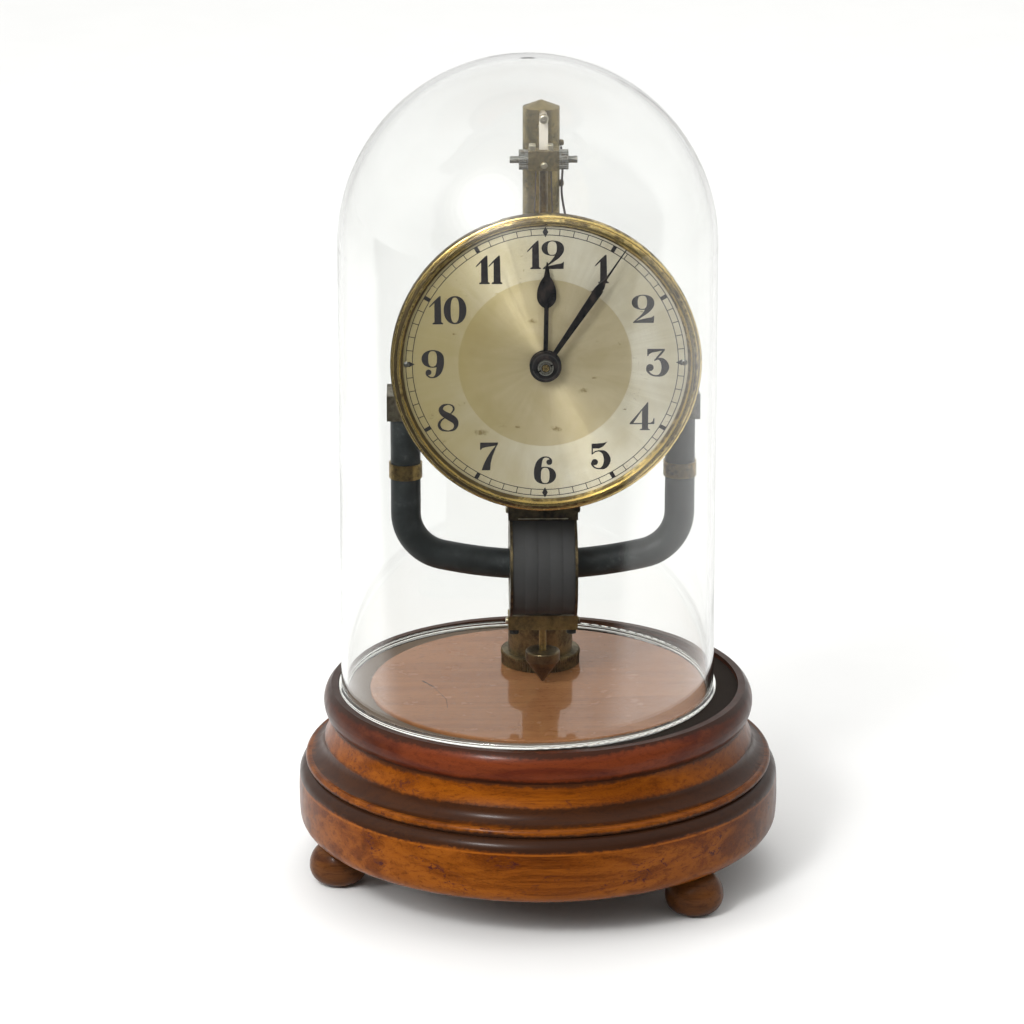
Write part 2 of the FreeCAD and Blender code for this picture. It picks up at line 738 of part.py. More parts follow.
# ---------------------------------------------------------------- dome
def make_dome():
    inner = dome_radius - dome_wall
    foot = groove_floor + felt_thickness
    bead = bulge_radius(dome_foot_radius - dome_radius, dome_foot_height / 2)
    keep("glass_dome", turned([
        (inner, foot),
        (dome_radius, foot, bead, 1),
        (dome_foot_radius, foot + dome_foot_height / 2, bead, 1),
        (dome_radius, foot + dome_foot_height),
        (dome_radius, dome_shoulder, dome_radius, 1),
        (0, dome_shoulder + dome_radius),
        (0, dome_shoulder + inner, inner, -1),
        (inner, dome_shoulder),
    ], dome_x))


# ---------------------------------------------------------------- magnet
def make_magnet():
    pivot = number(pivot_height)
    bar = number(magnet_radius)
    bend = number(magnet_bend)
    leg = number(magnet_leg)
    sweep_radius = pivot - number(magnet_height)
    reach = asin((leg - bend) / (sweep_radius - bend))
    clamp_cap = 1.0
    top = number(clamp_top) - clamp_cap

    def on_circle(centre_x, centre_z, radius, angle):
        return FreeCAD.Vector(centre_x + radius * sin(angle), 0, centre_z - radius * cos(angle))

    bend_x = leg - bend
    bend_z = pivot - (sweep_radius - bend) * cos(reach)
    right_low = on_circle(0, pivot, sweep_radius, reach)
    right_mid = on_circle(bend_x, bend_z, bend, (reach + pi / 2) / 2)
    right_high = on_circle(bend_x, bend_z, bend, pi / 2)
    left_low, left_mid, left_high = [FreeCAD.Vector(-point.x, 0, point.z)
                                     for point in (right_low, right_mid, right_high)]
    start = FreeCAD.Vector(-leg, 0, top)
    edges = [
        Part.LineSegment(start, left_high).toShape(),
        Part.Arc(left_high, left_mid, left_low).toShape(),
        Part.Arc(left_low, FreeCAD.Vector(0, 0, pivot - sweep_radius), right_low).toShape(),
        Part.Arc(right_low, right_mid, right_high).toShape(),
        Part.LineSegment(right_high, FreeCAD.Vector(leg, 0, top)).toShape(),
    ]
    keep("magnet_bar", solid(sweep(edges, bar, start, Z_AXIS), clock_x, pendulum_y))

    bands = []
    clamps = []
    screws = []
    holes = []
    screw_reach = 7.0
    clamp_middle = (clamp_bottom + clamp_top) / 2
    for side in (-1, 1):
        leg_x = clock_x + magnet_leg * side
        ring = cylinder(band_radius, band_top - band_bottom, leg_x, pendulum_y, band_bottom)
        leg_hole = cylinder(magnet_radius, band_top - band_bottom, leg_x, pendulum_y, band_bottom)
        bands.append(cut(ring, leg_hole))
        shank = cylinder(screw_shank_radius, screw_reach, leg_x, bracket_back, clamp_middle, FRONT)
        head = cylinder(screw_head_radius, screw_head_height, leg_x, bracket_back + screw_head_height,
                        clamp_middle, FRONT)
        slot = box(screw_slot_length, screw_slot_depth, screw_slot_width, leg_x - screw_slot_length / 2,
                   bracket_back + screw_head_height - screw_slot_depth, clamp_middle - screw_slot_width / 2)
        screws.append(cut(fuse(shank, head), slot))
        holes.append(shank)
        block = box(clamp_half * 2, bracket_front - pendulum_y + clamp_half, clamp_top - clamp_bottom,
                    leg_x - clamp_half, pendulum_y - clamp_half, clamp_bottom)
        bore = cylinder(magnet_radius, clamp_top - clamp_bottom - clamp_cap, leg_x, pendulum_y, clamp_bottom)
        clamps.append(cut(block, bore, shank))
    keep("magnet_bands", group(*bands))
    keep("magnet_end_clamps", group(*clamps))
    keep("bracket_screws", group(*screws))

    bar_half = magnet_leg + clamp_half
    step = 2.0
    bottom = clamp_bottom + step
    top = clamp_top - step
    cross = box(bar_half * 2, bracket_back - bracket_front, top - bottom,
                clock_x - bar_half, bracket_front, bottom)
    keep("magnet_cross_bracket", on_pillar(cross, bottom, top, *holes))


def on_pillar(cross, bottom, top, *holes):
    """Join a cross bar behind the pendulum to a collar that is clamped round the pillar."""
    web_half = 7.0
    height = top - bottom
    web = box(web_half * 2, pillar_y - bracket_front, height, clock_x - web_half, bracket_front, bottom)
    collar = cylinder(bracket_collar, height, clock_x, pillar_y, bottom)
    bore = cylinder(pillar_radius, height, clock_x, pillar_y, bottom)
    return cut(fuse(cross, web, collar), bore, *holes)


# ---------------------------------------------------------------- pendulum
def make_pendulum():
    half = ribbon_thickness / 2
    strip = box(ribbon_width, ribbon_thickness, pivot_height - ribbon_bottom,
                clock_x - ribbon_width / 2, pendulum_y - half, ribbon_bottom)
    eye = cylinder(ribbon_width / 2, ribbon_thickness, clock_x, pendulum_y + half, pivot_height, FRONT)
    peg_hole = cylinder(peg_radius + running_gap, ribbon_thickness,
                        clock_x, pendulum_y + half, pivot_height, FRONT)
    keep("suspension_ribbon", cut(fuse(strip, eye), peg_hole))

    block = box(head_width, head_depth, head_rise, clock_x - head_width / 2, pendulum_y - head_depth / 2,
                head_height - head_rise / 2)
    ribbon_slot = box(ribbon_width, ribbon_thickness, ribbon_slot_height, clock_x - ribbon_width / 2,
                      pendulum_y - half, ribbon_bottom)
    pin_left = clock_x - cross_pin_length / 2
    pin = cylinder(cross_pin_radius, cross_pin_length, pin_left, pendulum_y, head_height, RIGHT)
    rod_top = head_height - cross_pin_radius - 0.6
    pendulum_rod = cylinder(rod_radius, rod_top - upper_bracket_top, clock_x, pendulum_y, upper_bracket_top)
    keep("pendulum_head", cut(block, ribbon_slot, pin, pendulum_rod))
    keep("cross_pin", pin)
    collar_face = toothed_face(24, number(pin_collar_radius), number(pin_collar_radius) - 0.35, 0.3, 0.75,
                               [(0, 0, number(cross_pin_radius))])
    collar = collar_face.extrude(FreeCAD.Vector(0, 0, number(pin_collar_length)))
    keep("pin_collars", group(
        solid(collar, clock_x + head_width / 2, pendulum_y, head_height, RIGHT),
        solid(collar.copy(), clock_x - head_width / 2 - pin_collar_length, pendulum_y, head_height, RIGHT)))

    pin_height = dial_height - ratchet_drop() + fork_pin_arm
    pin_front = back_plate_y + plate_thickness + 1.7
    contact = cylinder(contact_pin_radius, pendulum_y - pin_front, clock_x, pendulum_y, pin_height, FRONT)
    keep("contact_pin", contact)
    keep("pendulum_rod", cut(pendulum_rod, contact))


def make_coil():
    bracket_left = clock_x - coil_bracket_length / 2
    saddle = cylinder(cheek_radius, coil_bracket_length, bracket_left, pendulum_y, coil_height, RIGHT)
    overlap = 2.0

    def bracket(bottom, height):
        return box(coil_bracket_length, coil_bracket_depth, height, bracket_left,
                   pendulum_y - coil_bracket_depth / 2, bottom)

    cheek_top = coil_height + cheek_radius
    cheek_bottom = coil_height - cheek_radius
    upper = bracket(cheek_top - overlap, upper_bracket_top - cheek_top + overlap)
    keep("coil_upper_bracket", cut(upper, saddle))
    lower = bracket(lower_bracket_bottom, cheek_bottom - lower_bracket_bottom + overlap)

    into_bracket = 3.0
    rating_rod = cylinder(rating_rod_radius, lower_bracket_bottom + into_bracket - rating_nut_edge,
                          clock_x, pendulum_y, rating_nut_edge)
    screws = []
    shanks = []
    for side in (-1, 1):
        x = clock_x + coil_screw_offset * side
        shank = cylinder(screw_shank_radius, coil_screw_shank, x, pendulum_y, lower_bracket_bottom)
        head = cylinder(coil_screw_head_radius, lower_bracket_bottom - coil_screw_bottom,
                        x, pendulum_y, coil_screw_bottom)
        screws.append(fuse(shank, head))
        shanks.append(shank)
    keep("coil_lower_bracket", cut(lower, saddle, rating_rod, *shanks))
    keep("coil_screws", group(*screws))
    keep("rating_rod", rating_rod)

    cheek_thickness = (spool_length - winding_length) / 2
    tube_radius = spool_bore + spool_wall
    half = spool_length / 2
    keep("coil_spool", turned([
        (spool_bore, 0),
        (cheek_radius, 0),
        (cheek_radius, cheek_thickness),
        (tube_radius, cheek_thickness),
        (tube_radius, spool_length - cheek_thickness),
        (cheek_radius, spool_length - cheek_thickness),
        (cheek_radius, spool_length),
        (spool_bore, spool_length),
    ], clock_x - half, pendulum_y, coil_height, RIGHT))
    keep("coil_winding", turned([
        (tube_radius, cheek_thickness),
        (winding_radius, cheek_thickness),
        (winding_radius, spool_length - cheek_thickness),
        (tube_radius, spool_length - cheek_thickness),
    ], clock_x - half, pendulum_y, coil_height, RIGHT))

    bore = rating_rod_radius + running_gap
    blunt = 0.5
    under_rod = 0.3
    keep("rating_nut", turned([
        (0, rating_tip),
        (blunt, rating_tip),
        (rating_nut_radius, rating_nut_edge),
        (rating_nut_radius, rating_nut_top - rating_nut_chamfer, rating_nut_chamfer, 1),
        (rating_nut_radius - rating_nut_chamfer, rating_nut_top),
        (bore, rating_nut_top),
        (bore, rating_nut_edge - under_rod),
        (0, rating_nut_edge - under_rod),
    ], clock_x, pendulum_y))


# ---------------------------------------------------------------- dial and bezel
def make_dial():
    thick = dial_thickness
    back = thick + backing_thickness
    plate_disc = cylinder(dial_radius, thick, clock_x, dial_face + thick, dial_height, FRONT)
    plate_hole = cylinder(dial_hole, thick, clock_x, dial_face + thick, dial_height, FRONT)
    keep("dial_plate", cut(plate_disc, plate_hole))
    backing = cylinder(backing_radius, backing_thickness, clock_x, dial_face + back, dial_height, FRONT)
    hole = cylinder(dial_hole, backing_thickness, clock_x, dial_face + back, dial_height, FRONT)
    keep("dial_backing", cut(backing, hole))

    shoulder = bezel_radius - 1.1
    keep("bezel", turned([
        (bezel_opening, 0),
        (dial_radius, 0),
        (dial_radius, -thick),
        (backing_radius, -thick),
        (backing_radius, -back),
        (bezel_radius, -back),
        (bezel_radius, bezel_front * 0.42, 1.4, 1),
        (shoulder, bezel_front * 0.68),
        (shoulder - 0.3, bezel_front * 0.68, 1.5, 1),
        (shoulder - 1.7, bezel_front),
        (bezel_opening + 1.6, bezel_front),
        (bezel_opening + 0.4, bezel_front * 0.45),
        (bezel_opening, bezel_front * 0.35),
    ], clock_x, dial_face, dial_height, FRONT))

    feet = []
    foot_length = front_plate_y - dial_face - back
    for angle in (0, 120, 240):
        x = clock_x + number(dial_foot_circle) * sin(radians(angle))
        z = dial_height - plate_drop + number(dial_foot_circle) * cos(radians(angle))
        feet.append(cylinder(dial_foot_radius, foot_length, x, front_plate_y, z, FRONT))
    keep("dial_feet", group(*feet))


# ---------------------------------------------------------------- hands and motion work
def hand_piece(blade, bore, front, angle):
    """Blade and round boss from one sheet, drilled for its pipe."""
    owner = body()
    first = new_sketch(owner, "XY_Plane")
    draw_outline(first, blade)
    second = new_sketch(owner, "XY_Plane")
    draw_circle(second, 0, 0, hand_boss)
    hole = new_sketch(owner, "XY_Plane")
    draw_circle(hole, 0, 0, bore)
    for sketch in (first, second):
        pad = owner.newObject("PartDesign::Pad", "Pad")
        pad.Profile = sketch
        bind(pad, "Length", hand_thickness)
    pocket = owner.newObject("PartDesign::Pocket", "Bore")
    pocket.Profile = hole
    bind(pocket, "Length", hand_thickness)
    pocket.Reversed = True
    return place(owner, clock_x, dial_face - front + hand_thickness, dial_height, FRONT, angle)


def make_hands():
    stem = hand_boss * 0.142
    start = hand_boss * 0.8
    length = hour_hand_length
    pear_bottom = length * 0.562
    pear_widest = length * 0.681
    pear_half = length * 0.091
    neck = length * 0.86
    hour_blade = [
        (-stem, start),
        (stem, start),
        (stem, pear_bottom, length * 0.125, 1),
        (pear_half, pear_widest, length * 0.27, 1),
        (length * 0.03, neck),
        (length * 0.006, length),
        (-(length * 0.006), length),
        (-(length * 0.03), neck, length * 0.27, 1),
        (-pear_half, pear_widest, length * 0.125, 1),
        (-stem, pear_bottom),
    ]
    keep("hour_hand", hand_piece(hour_blade, hour_pipe(), hour_hand_front, hour_hand_angle))

    length = minute_hand_length
    widest = length * 0.65
    neck = length * 0.735
    minute_blade = [
        (-stem, start),
        (stem, start),
        (length * 0.0325, widest, length * 0.2, 1),
        (length * 0.0075, neck),
        (length * 0.003, length),
        (-(length * 0.003), length),
        (-(length * 0.0075), neck, length * 0.2, 1),
        (-(length * 0.0325), widest),
    ]
    keep("minute_hand", hand_piece(minute_blade, cannon_pipe(), minute_hand_front, minute_hand_angle))


def cannon_pipe():
    return arbor_radius + running_gap + 0.8


def hour_bore():
    return cannon_pipe() + running_gap


def hour_pipe():
    return hour_bore() + 0.7


def centre_distance():
    return cannon_module.value * (cannon_teeth.value + minute_wheel_teeth.value) / 2


def minute_wheel_place():
    angle = radians(minute_wheel_angle.value)
    return clock_x + centre_distance() * sin(angle), dial_height + centre_distance() * cos(angle)


def mesh_turn(count, towards, gap):
    """Clockwise turn that points a tooth, or a gap, of a wheel at its neighbour."""
    return towards + (180.0 / count if gap else 0.0)


def make_motion_work():
    """Cannon pinion, minute wheel and hour wheel, between the front plate and the dial."""
    face = dial_face.value
    floor = front_plate_y.value
    bore = arbor_radius.value + running_gap.value
    towards = minute_wheel_angle.value

    def ahead(y):
        """Height in front of the front plate of a place given by its y."""
        return floor - y

    low = 1.6
    cannon = gear(int(cannon_teeth.value), cannon_module.value, 1.5, low, 0, leaf=True)
    tip = ahead(face - hand_nut_front.value)
    pipe_radius = number(cannon_pipe())
    cannon = cannon.fuse(rod(pipe_radius, low + 1, tip))
    cannon = cannon.cut(rod(bore, low - 1, tip - 3.5)).removeSplitter()
    keep("cannon_pinion", solid(cannon, clock_x, front_plate_y, dial_height, FRONT,
                                mesh_turn(cannon_teeth.value, towards, False)))

    nut_height = hand_nut_front - minute_hand_front
    nut_back = dial_face - minute_hand_front
    nut = cut(cylinder(hand_nut_radius, nut_height, clock_x, nut_back, dial_height, FRONT),
              cylinder(cannon_pipe(), nut_height, clock_x, nut_back, dial_height, FRONT))
    slot = box(hand_nut_radius * 2, screw_slot_depth + 0.1, screw_slot_width, clock_x - hand_nut_radius,
               dial_face - hand_nut_front, dial_height - screw_slot_width / 2)
    keep("hand_nut", cut(nut, slot))

    stud_x, stud_z = minute_wheel_place()
    wheel = gear(int(minute_wheel_teeth.value), cannon_module.value, 1.0, low + 0.25, bore, 4, 6.4, 2.3)
    turn = mesh_turn(minute_wheel_teeth.value, towards + 180, True)
    pinion = gear(int(minute_pinion_teeth.value), hour_module.value, 2.2, low + 1.25, bore, leaf=True)
    pinion.rotate(FreeCAD.Vector(), Z_AXIS, turn - (towards + 180))
    keep("minute_wheel", solid(wheel.fuse(pinion).removeSplitter(), stud_x, front_plate_y, stud_z, FRONT, turn))
    post = cylinder(arbor_radius, 5.2, stud_x, front_plate_y, stud_z, FRONT)
    flange = cylinder(1.8, 1.4, stud_x, front_plate_y, stud_z, FRONT)
    keep("minute_stud", fuse(post, flange))

    hour_low = low + 2.1
    hour = gear(int(hour_wheel_teeth.value), hour_module.value, 1.0, hour_low, 0, 5, 7.4, 2.2)
    pipe_front = ahead(face - hour_hand_front.value)
    hour = hour.fuse(rod(number(hour_pipe()), hour_low, pipe_front))
    hour = hour.cut(rod(number(hour_bore()), 0, pipe_front + 1)).removeSplitter()
    turn = mesh_turn(hour_wheel_teeth.value, towards, True)
    keep("hour_wheel", solid(hour, clock_x, front_plate_y, dial_height, FRONT, turn))


# ---------------------------------------------------------------- movement
def train_distance():
    return train_module.value * (train_wheel_teeth.value + train_pinion_teeth.value) / 2


def ratchet_drop():
    """Height of the dial's centre above the ratchet arbor, which is straight below it."""
    return 2 * train_distance() * cos(radians(train_angle.value))


def train_places():
    """Sideways and downward offsets of the centre, third and ratchet arbors from the dial's centre."""
    return {
        "centre": (0.0, 0.0),
        "third": (train_distance() * sin(radians(train_angle.value)), ratchet_drop() / 2),
        "ratchet": (0.0, ratchet_drop()),
    }


def make_plates():
    pivot_bore = arbor_radius + running_gap
    posts = []
    screws = []
    shanks = []
    screw_length = 4.5
    gap = back_plate_y - front_plate_y - plate_thickness
    centre_z = dial_height - plate_drop
    for side_x in (-1, 1):
        for side_z in (-1, 1):
            x = clock_x + post_offset * side_x
            z = centre_z + post_offset * side_z
            shank = cylinder(screw_shank_radius, screw_length, x, back_plate_y + plate_thickness, z, FRONT)
            head = cylinder(screw_head_radius, screw_head_height,
                            x, back_plate_y + plate_thickness + screw_head_height, z, FRONT)
            slot = box(screw_slot_length, screw_slot_depth, screw_slot_width, x - screw_slot_length / 2,
                       back_plate_y + plate_thickness + screw_head_height - screw_slot_depth,
                       z - screw_slot_width / 2)
            screws.append(cut(fuse(shank, head), slot))
            shanks.append(shank)
            posts.append(cut(cylinder(post_radius, gap, x, back_plate_y, z, FRONT), shank))
    keep("movement_pillars", group(*posts))
    keep("plate_screws", group(*screws))

    def drilled(y):
        disc = cylinder(plate_radius, plate_thickness, clock_x, y + plate_thickness, centre_z, FRONT)
        holes = [cylinder(pivot_bore, plate_thickness, clock_x + across, y + plate_thickness,
                          dial_height - down, FRONT)
                 for across, down in train_places().values()]
        return disc, holes

    disc, holes = drilled(front_plate_y)
    keep("movement_front_plate", cut(disc, *holes))
    disc, holes = drilled(back_plate_y)
    keep("movement_back_plate", cut(disc, *holes, *shanks))

    cross_half = 21.0
    bar_rise = 7.0
    bottom = bracket_bar_height - bar_rise / 2
    rods = [cylinder(post_radius, bracket_front - back_plate_y - plate_thickness,
                     clock_x + bracket_post_offset * side, bracket_front, bracket_bar_height, FRONT)
            for side in (-1, 1)]
    cross = fuse(box(cross_half * 2, bracket_back - bracket_front, bar_rise, clock_x - cross_half,
                     bracket_front, bottom), *rods)
    keep("movement_bracket", on_pillar(cross, bottom, bottom + bar_rise))


def make_train():
    """Centre, third and ratchet wheels on arbors between the plates; heights count from the front plate."""
    floor = front_plate_y
    depth = back_plate_y.value + plate_thickness.value - front_plate_y.value
    arbor = arbor_radius.value
    module = train_module.value
    wheel_teeth = int(train_wheel_teeth.value)
    pinion_teeth = int(train_pinion_teeth.value)
    places = train_places()
    to_third = 180 - train_angle.value
    to_ratchet = 180 + train_angle.value

    def arbor_piece(name, turn, *shapes):
        across, down = places[name.split("_")[0]]
        shape = shapes[0].multiFuse(shapes[1:]).removeSplitter()
        keep(name, solid(shape, clock_x + across, floor, dial_height - down, FRONT, turn))

    centre_front = dial_face.value - hand_nut_front.value + 4.5
    arbor_piece("centre_wheel", mesh_turn(wheel_teeth, to_third, False),
                gear(wheel_teeth, module, 1.0, -11.0, 0, 5, 9.2, 3.6),
                rod(3.0, -11.7, -9.6),
                rod(arbor, -depth, floor.value - centre_front))
    third_pinion = gear(pinion_teeth, module, 2.6, -11.8, 0, leaf=True)
    third_turn = mesh_turn(wheel_teeth, to_ratchet, False)
    pinion_turn = mesh_turn(pinion_teeth, to_third + 180, True)
    third_pinion.rotate(FreeCAD.Vector(), Z_AXIS, third_turn - pinion_turn)
    arbor_piece("third_wheel", third_turn,
                gear(wheel_teeth, module, 1.0, -5.2, 0, 5, 9.2, 3.6),
                third_pinion,
                rod(2.6, -6.2, -4.0),
                rod(arbor, -depth, -0.3))
    ratchet_face = toothed_face(int(ratchet_teeth.value), ratchet_radius.value,
                                ratchet_radius.value - ratchet_depth.value, 0.08, 0.8,
                                [(x * 4.9, y * 4.9, 1.5) for x, y in ((1, 0), (-1, 0), (0, 1), (0, -1))], 0.6)
    ratchet = ratchet_face.extrude(FreeCAD.Vector(0, 0, 1.0))
    ratchet.translate(FreeCAD.Vector(0, 0, -depth - 1.6))
    ratchet_pinion = gear(pinion_teeth, module, 2.6, -6.0, 0, leaf=True)
    arbor_piece("ratchet_wheel", mesh_turn(pinion_teeth, to_ratchet + 180, True),
                ratchet_pinion, ratchet,
                rod(2.2, -depth - 1.8, -depth - 0.3),
                rod(arbor, -depth - 3.6, -0.3))


def make_fork():
    """Fork that the contact pin rocks about the ratchet arbor, and the pawl that it carries."""
    back = back_plate_y + plate_thickness
    fork_y = back + 3.0
    thick = 0.8
    hub = 3.0
    arm_half = 1.5
    head_half = 2.9
    axis_z = dial_height - ratchet_drop()
    slot_bottom = fork_pin_arm - 4.0
    fork_top = fork_pin_arm + 4.0
    pivot_angle = radians(pawl_angle.value)
    disc = cylinder(hub, thick, clock_x, fork_y, axis_z, FRONT)
    arm = box(arm_half * 2, thick, slot_bottom, clock_x - arm_half, fork_y - thick, axis_z)
    head = box(head_half * 2, thick, fork_top - slot_bottom + 3, clock_x - head_half, fork_y - thick,
               axis_z + slot_bottom - 3)
    slot = box(fork_slot * 2, thick, fork_top - slot_bottom, clock_x - fork_slot, fork_y - thick,
               axis_z + slot_bottom)
    branch_half = 1.2
    branch = box(branch_half * 2, pawl_circle, thick)
    on_axis = place(branch, clock_x, fork_y, axis_z, FRONT, pawl_angle).Placement
    to_middle = FreeCAD.Placement(FreeCAD.Vector(-branch_half, 0, 0), FreeCAD.Rotation())
    for axis in "xyz":
        branch.setExpression(f"Placement.Base.{axis}", None)
    branch.Placement = on_axis.multiply(to_middle)
    pawl_x = clock_x + pawl_circle.value * sin(pivot_angle)
    pawl_z = axis_z + pawl_circle.value * cos(pivot_angle)
    eye = cylinder(2.0, thick, pawl_x, fork_y, pawl_z, FRONT)
    bore = cylinder(arbor_radius + running_gap, 4, clock_x, fork_y + 1, axis_z, FRONT)
    stub = cylinder(arbor_radius, 1.6, pawl_x, fork_y - thick, pawl_z, FRONT)
    keep("fork_lever", cut(fuse(disc, arm, head, branch, eye, stub), slot, bore))

    tip_angle = radians(-14.0)
    tip_radius = ratchet_radius.value + 0.35
    tip_x = tip_radius * sin(tip_angle) - pawl_circle.value * sin(pivot_angle)
    tip_z = tip_radius * cos(tip_angle) - pawl_circle.value * cos(pivot_angle)
    pawl = [
        (-1.2, 1.1),
        (-1.2, -1.1),
        (1.4, -1.1),
        (tip_x - 0.2, tip_z),
        (tip_x, tip_z + 0.9),
        (1.4, 1.1),
    ]
    pawl_hole = (0, 0, arbor_radius + running_gap)
    keep("drive_pawl", plate([pawl], [pawl_hole], thick, pawl_x, back + 1.5, pawl_z, FRONT))


def check_and_write():
    """Stop if anything in the document failed, then write each piece to its own file."""
    for item in DOC.Objects:
        if {"Invalid", "Error"} & set(item.State):
            raise RuntimeError(f"{item.Name} ({item.Label}) failed: {item.State}")
    os.makedirs("parts", exist_ok=True)
    for item in NODES:
        if item.Shape.isNull() or not item.Shape.isValid():
            raise RuntimeError(f"{item.Label} has no valid shape")
        item.Shape.exportStep(f"parts/{item.Label}.step")
    print(f"{len(NODES)} pieces written")


make_base()
make_battery()
make_pillar()
make_suspension_arm()
make_dome()
make_magnet()
make_pendulum()
make_coil()
make_dial()
make_hands()
make_motion_work()
make_plates()
make_train()
make_fork()
DOC.recompute()
check_and_write()
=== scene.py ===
import math

import bmesh
import bpy
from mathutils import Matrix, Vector, geometry, noise


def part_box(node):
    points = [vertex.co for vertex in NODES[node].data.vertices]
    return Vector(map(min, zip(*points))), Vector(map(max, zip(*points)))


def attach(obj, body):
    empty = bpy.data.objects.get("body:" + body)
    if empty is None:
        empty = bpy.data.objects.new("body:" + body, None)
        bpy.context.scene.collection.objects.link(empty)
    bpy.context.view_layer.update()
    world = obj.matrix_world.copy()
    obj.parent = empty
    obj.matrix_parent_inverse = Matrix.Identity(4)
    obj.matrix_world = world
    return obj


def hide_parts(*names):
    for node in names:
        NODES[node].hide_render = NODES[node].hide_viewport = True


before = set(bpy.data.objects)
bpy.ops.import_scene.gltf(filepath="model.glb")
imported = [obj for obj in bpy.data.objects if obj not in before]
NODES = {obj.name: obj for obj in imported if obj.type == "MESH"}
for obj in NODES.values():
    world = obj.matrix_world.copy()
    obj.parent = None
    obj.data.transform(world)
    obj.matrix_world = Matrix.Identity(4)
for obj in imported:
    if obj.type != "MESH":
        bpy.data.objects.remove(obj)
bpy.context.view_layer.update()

# Looks of a battery clock under a glass bell jar. Metres, +Z up, the dial faces -Y.
MM = 0.001


def middle(node):
    low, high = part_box(node)
    return (low + high) / 2


DIAL = middle("dial_plate")
DIAL_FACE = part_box("dial_plate")[0].y
COIL = middle("coil_winding")


# ---- camera, floor and light
CAMERA_LENS = 191.95
CAMERA_AZIMUTH, CAMERA_ELEVATION = 1.5, 17.85
CAMERA_TARGET = (-12.2 * MM, 0, 172.07 * MM)
CAMERA_DISTANCE = 2.523
FLOOR_RADIUS = 9.0
LAMP_AIM = (0, 0, 0.18)
# one soft key lamp, brightest in its middle: (diameter, watts) of discs one behind the other
KEY_DISCS = ((0.30, 6.2), (0.50, 6.4), (0.70, 5.0), (1.0, 2.4), (1.3, 2.6), (1.6, 2.6), (1.9, 2.4),
             (2.2, 2.0))
KEY_AZIMUTH, KEY_ELEVATION, KEY_DISTANCE, DISC_GAP = -30, 38, 1.9, 0.01


def make_camera():
    """Long lens from the front, a little to the left and well above the base."""
    data = bpy.data.cameras.new("camera")
    data.sensor_width = 36.0
    data.lens = CAMERA_LENS
    camera = bpy.data.objects.new("camera", data)
    bpy.context.collection.objects.link(camera)
    azimuth, elevation = math.radians(CAMERA_AZIMUTH), math.radians(CAMERA_ELEVATION)
    back = Vector((-math.sin(azimuth) * math.cos(elevation),
                   -math.cos(azimuth) * math.cos(elevation), math.sin(elevation)))
    camera.location = Vector(CAMERA_TARGET) + back * CAMERA_DISTANCE
    camera.rotation_mode = "QUATERNION"
    camera.rotation_quaternion = (-back).to_track_quat("-Z", "Y")
    data.clip_start, data.clip_end = 0.05, 60
    bpy.context.scene.camera = camera


def area_light(name, azimuth, elevation, distance, size, power, glossy=True):
    """Round lamp aimed at the middle of the clock; azimuth 0 is in front, positive to the right.

    Without glossy it lights the clock, but is neither mirrored nor seen through the glass.
    """
    data = bpy.data.lights.new(name, "AREA")
    data.shape = "ELLIPSE"
    data.size = data.size_y = size
    data.energy = power
    lamp = bpy.data.objects.new(name, data)
    lamp.visible_glossy = lamp.visible_transmission = glossy
    bpy.context.collection.objects.link(lamp)
    a, e = math.radians(azimuth), math.radians(elevation)
    towards = Vector((math.sin(a) * math.cos(e), -math.cos(a) * math.cos(e), math.sin(e)))
    lamp.location = Vector(LAMP_AIM) + towards * distance
    lamp.rotation_mode = "QUATERNION"
    lamp.rotation_quaternion = towards.to_track_quat("Z", "Y")


def make_stage():
    graph, place = new_material("floor_white")
    speckle = graph.noise(place, 0.02, 3)
    paper = graph.mix(speckle, (0.755, 0.755, 0.747), (0.785, 0.785, 0.777))
    # far from the lamps the floor is paler, so that it meets the background softly
    paper = graph.mix(graph.step(graph.vector("LENGTH", place), 1600.0, 4500.0), paper, (0.95, 0.95, 0.94))
    # not physical: a mirror image of the floor in front is dark, though the floor itself is pale
    mirrored = graph.tree.nodes.new("ShaderNodeLightPath").outputs["Glossy Depth"]
    towards = graph.step(graph.vector("DOT_PRODUCT", place, (-0.35, -1.0, 0.0)), 90.0, 220.0)
    flagged = graph.times(towards, mirrored, clamp=True)
    graph.put("Base Color", graph.mix(flagged, paper, (0.03, 0.03, 0.03)))
    graph.put("Roughness", 0.9)
    graph.put("Specular IOR Level", 0.1)
    floor = mesh_piece("floor", *disc_faces(FLOOR_RADIUS, 96), graph.material)

    world = bpy.data.worlds.new("studio")
    bpy.context.scene.world = world
    world.use_nodes = True
    sky = Nodes(world.node_tree)
    _, depth, height = sky.axes(sky.tree.nodes.new("ShaderNodeTexCoord").outputs["Generated"])
    # white behind and overhead, dim behind the camera
    backdrop = sky.step(depth, 0.20, -0.65, 0.86, 0.05)
    ceiling = sky.step(height, 0.12, 0.62, 0.0, 0.62)
    background = sky.tree.nodes.new("ShaderNodeBackground")
    background.inputs["Color"].default_value = (1.0, 1.0, 0.99, 1)
    sky.wire(background.inputs["Strength"], sky.math("MINIMUM", sky.plus(backdrop, ceiling), 1.0))
    output = sky.tree.nodes.new("ShaderNodeOutputWorld")
    sky.tree.links.new(background.outputs[0], output.inputs["Surface"])

    for index, (size, power) in enumerate(KEY_DISCS):
        area_light(f"key_lamp_{index}", KEY_AZIMUTH, KEY_ELEVATION, KEY_DISTANCE + DISC_GAP * index,
                   size, power)
    area_light("side_lamp", -68, 20, 1.9, 0.6, 10, glossy=False)
    area_light("back_lamp", 172, 52, 2.6, 1.8, 22, glossy=False)
    bpy.context.scene.view_settings.view_transform = "Standard"


